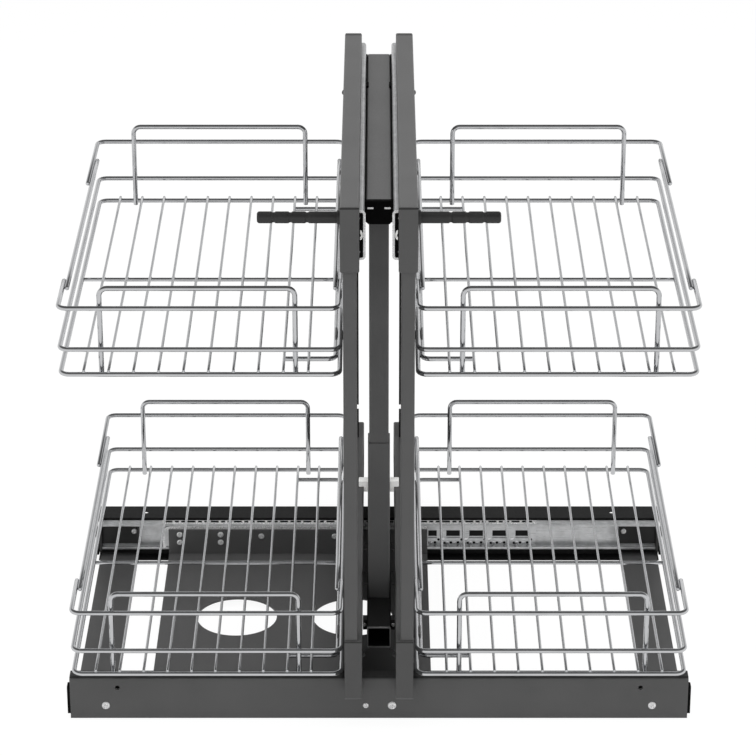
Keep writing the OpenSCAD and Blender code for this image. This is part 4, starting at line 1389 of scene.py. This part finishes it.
@dataclass
class Studio:
    """A plain pale floor, a soft white room, three lamps and the camera, in metres."""

    camera_place: tuple[float, float, float] = (-0.001, -2.954, 1.691)
    camera_tilt: float = 66.3
    camera_lens: float = 150.1
    camera_sensor: float = 36.0
    camera_reach: float = 100.0
    floor_half: float = 30.0
    # The floor lies this far under the object, so that the two don't share a plane.
    floor_drop: float = 0.0005
    # How pale the floor is where light falls on it, and how much of what is seen of it is plain white.
    floor_grey: float = 0.85
    floor_white: float = 0.9
    # The strength of that white where it is seen, and how much less it has in a mirror.
    floor_glow: float = 1.04
    floor_mirror_loss: float = 0.24
    room_light: float = 0.8
    room_grey: float = 0.5
    # What gloss mirrors, from the ground up to overhead, as place and grey.
    room_stops: tuple[tuple[float, float], ...] = (
        (0.0, 0.85), (0.2, 0.8), (0.42, 0.5), (0.6, 0.13), (1.0, 0.1),
    )
    lamps: tuple[Lamp, ...] = (
        Lamp("overhead_box", (0.0, 0.1, 3.0), (0.0, 0.2, 0.3), (3.2, 2.6), 85.0),
        Lamp("front_box", (-1.2, -3.4, 2.0), (0.0, 0.0, 0.3), (1.8, 1.8), 24.0),
        Lamp("side_box", (2.6, -1.4, 1.6), (0.0, 0.1, 0.3), (1.6, 1.8), 14.0),
    )

    def build_camera(self) -> None:
        """Makes the camera and makes it the scene's."""
        data = bpy.data.cameras.new("camera")
        data.lens = self.camera_lens
        data.sensor_width = self.camera_sensor
        data.clip_end = self.camera_reach
        camera = bpy.data.objects.new("camera", data)
        camera.location = self.camera_place
        camera.rotation_euler = (math.radians(self.camera_tilt), 0.0, 0.0)
        bpy.context.scene.collection.objects.link(camera)
        bpy.context.scene.camera = camera

    def build_floor(self) -> None:
        """Makes the floor: white where it is seen or mirrored, with the object's soft shadow kept."""
        half = self.floor_half
        corners = lift(rectangle(-half, -half, half, half), "xy", 0.0)
        mesh = bpy.data.meshes.new("floor")
        mesh.from_pydata(corners.tolist(), [], [(0, 1, 2, 3)])
        mesh.materials.append(self.floor_material())
        floor = bpy.data.objects.new("floor", mesh)
        floor.location = (0.0, 0.0, -self.floor_drop)
        bpy.context.scene.collection.objects.link(floor)

    def floor_material(self) -> bpy.types.Material:
        """Makes the floor's material: a plain pale surface, mixed with white light for what sees it.

        Returns:
            The material.
        """
        material = bpy.data.materials.new("pale_floor")
        material.use_nodes = True
        tree = material.node_tree
        tree.nodes.clear()
        path = add_node(tree, "ShaderNodeLightPath")
        seen = add_node(
            tree, "ShaderNodeMath", {"operation": "MAXIMUM"}, _0=path.outputs["Is Camera Ray"],
            _1=path.outputs["Is Glossy Ray"],
        )
        seen = add_node(
            tree, "ShaderNodeMath", {"operation": "MAXIMUM"}, _0=seen.outputs[0],
            _1=path.outputs["Is Transmission Ray"],
        )
        share = add_node(
            tree, "ShaderNodeMath", {"operation": "MULTIPLY"}, _0=seen.outputs[0], _1=self.floor_white
        )
        plain = add_node(tree, "ShaderNodeBsdfDiffuse", Color=(*[self.floor_grey] * 3, 1.0))
        # Bright wires mirror a floor that is a little less than white.
        strength = add_node(
            tree, "ShaderNodeMath", {"operation": "MULTIPLY_ADD"}, _0=path.outputs["Is Glossy Ray"],
            _1=-self.floor_mirror_loss, _2=self.floor_glow,
        )
        white = add_node(
            tree, "ShaderNodeEmission", Color=(1.0, 1.0, 1.0, 1.0), Strength=strength.outputs[0]
        )
        mixed = add_node(
            tree, "ShaderNodeMixShader", _0=share.outputs[0], _1=plain.outputs["BSDF"],
            _2=white.outputs["Emission"],
        )
        add_node(tree, "ShaderNodeOutputMaterial", Surface=mixed.outputs["Shader"])
        return material

    def build_world(self) -> None:
        """Makes the room: white where it is seen, and a plain grey for light.

        Gloss mirrors a white backdrop under a dark ceiling, which draws the dark line along the top of
        bright wires.
        """
        world = bpy.data.worlds.new("room")
        world.use_nodes = True
        bpy.context.scene.world = world
        tree = world.node_tree
        tree.nodes.clear()
        path = add_node(tree, "ShaderNodeLightPath")
        place = add_node(tree, "ShaderNodeTexCoord")
        height = add_node(tree, "ShaderNodeSeparateXYZ", Vector=place.outputs["Generated"])
        ramp = add_node(tree, "ShaderNodeValToRGB", Fac=height.outputs["Z"])
        while len(ramp.color_ramp.elements) < len(self.room_stops):
            ramp.color_ramp.elements.new(0.5)
        for element, (position, grey) in zip(ramp.color_ramp.elements, self.room_stops, strict=True):
            element.position = position
            element.color = (grey, grey, grey, 1.0)
        mirrored = add_node(tree, "ShaderNodeBackground", Color=ramp.outputs["Color"], Strength=1.0)
        plain = (*[self.room_grey] * 3, 1.0)
        light = add_node(tree, "ShaderNodeBackground", Color=plain, Strength=self.room_light)
        white = add_node(tree, "ShaderNodeBackground", Color=(1.0, 1.0, 1.0, 1.0), Strength=1.0)
        seen = add_node(
            tree, "ShaderNodeMath", {"operation": "MAXIMUM"}, _0=path.outputs["Is Camera Ray"],
            _1=path.outputs["Is Transmission Ray"],
        )
        inner = add_node(
            tree, "ShaderNodeMixShader", _0=path.outputs["Is Glossy Ray"], _1=light.outputs["Background"],
            _2=mirrored.outputs["Background"],
        )
        mixed = add_node(
            tree, "ShaderNodeMixShader", _0=seen.outputs[0], _1=inner.outputs["Shader"],
            _2=white.outputs["Background"],
        )
        add_node(tree, "ShaderNodeOutputWorld", Surface=mixed.outputs["Shader"])

    def build(self) -> None:
        """Builds the studio and leaves its colours as they are."""
        self.build_camera()
        self.build_floor()
        self.build_world()
        for lamp in self.lamps:
            lamp.build()
        view = bpy.context.scene.view_settings
        view.view_transform = "Standard"


def main() -> None:
    """Builds the unit's looks and the studio."""
    logging.basicConfig(level=logging.INFO, format="%(name)s %(message)s")
    Studio().build()
    Dressing().dress()
    for side in Side:
        for level in Level:
            Basket(side, level).build()
        Grip(side).build()
        SlideTrim(side).build()
    ScrewSets().build_base()
    ScrewSets().build_carriage()
    TrackTrim().build()
    MastTrim().build()


if __name__ == "__main__":
    main()
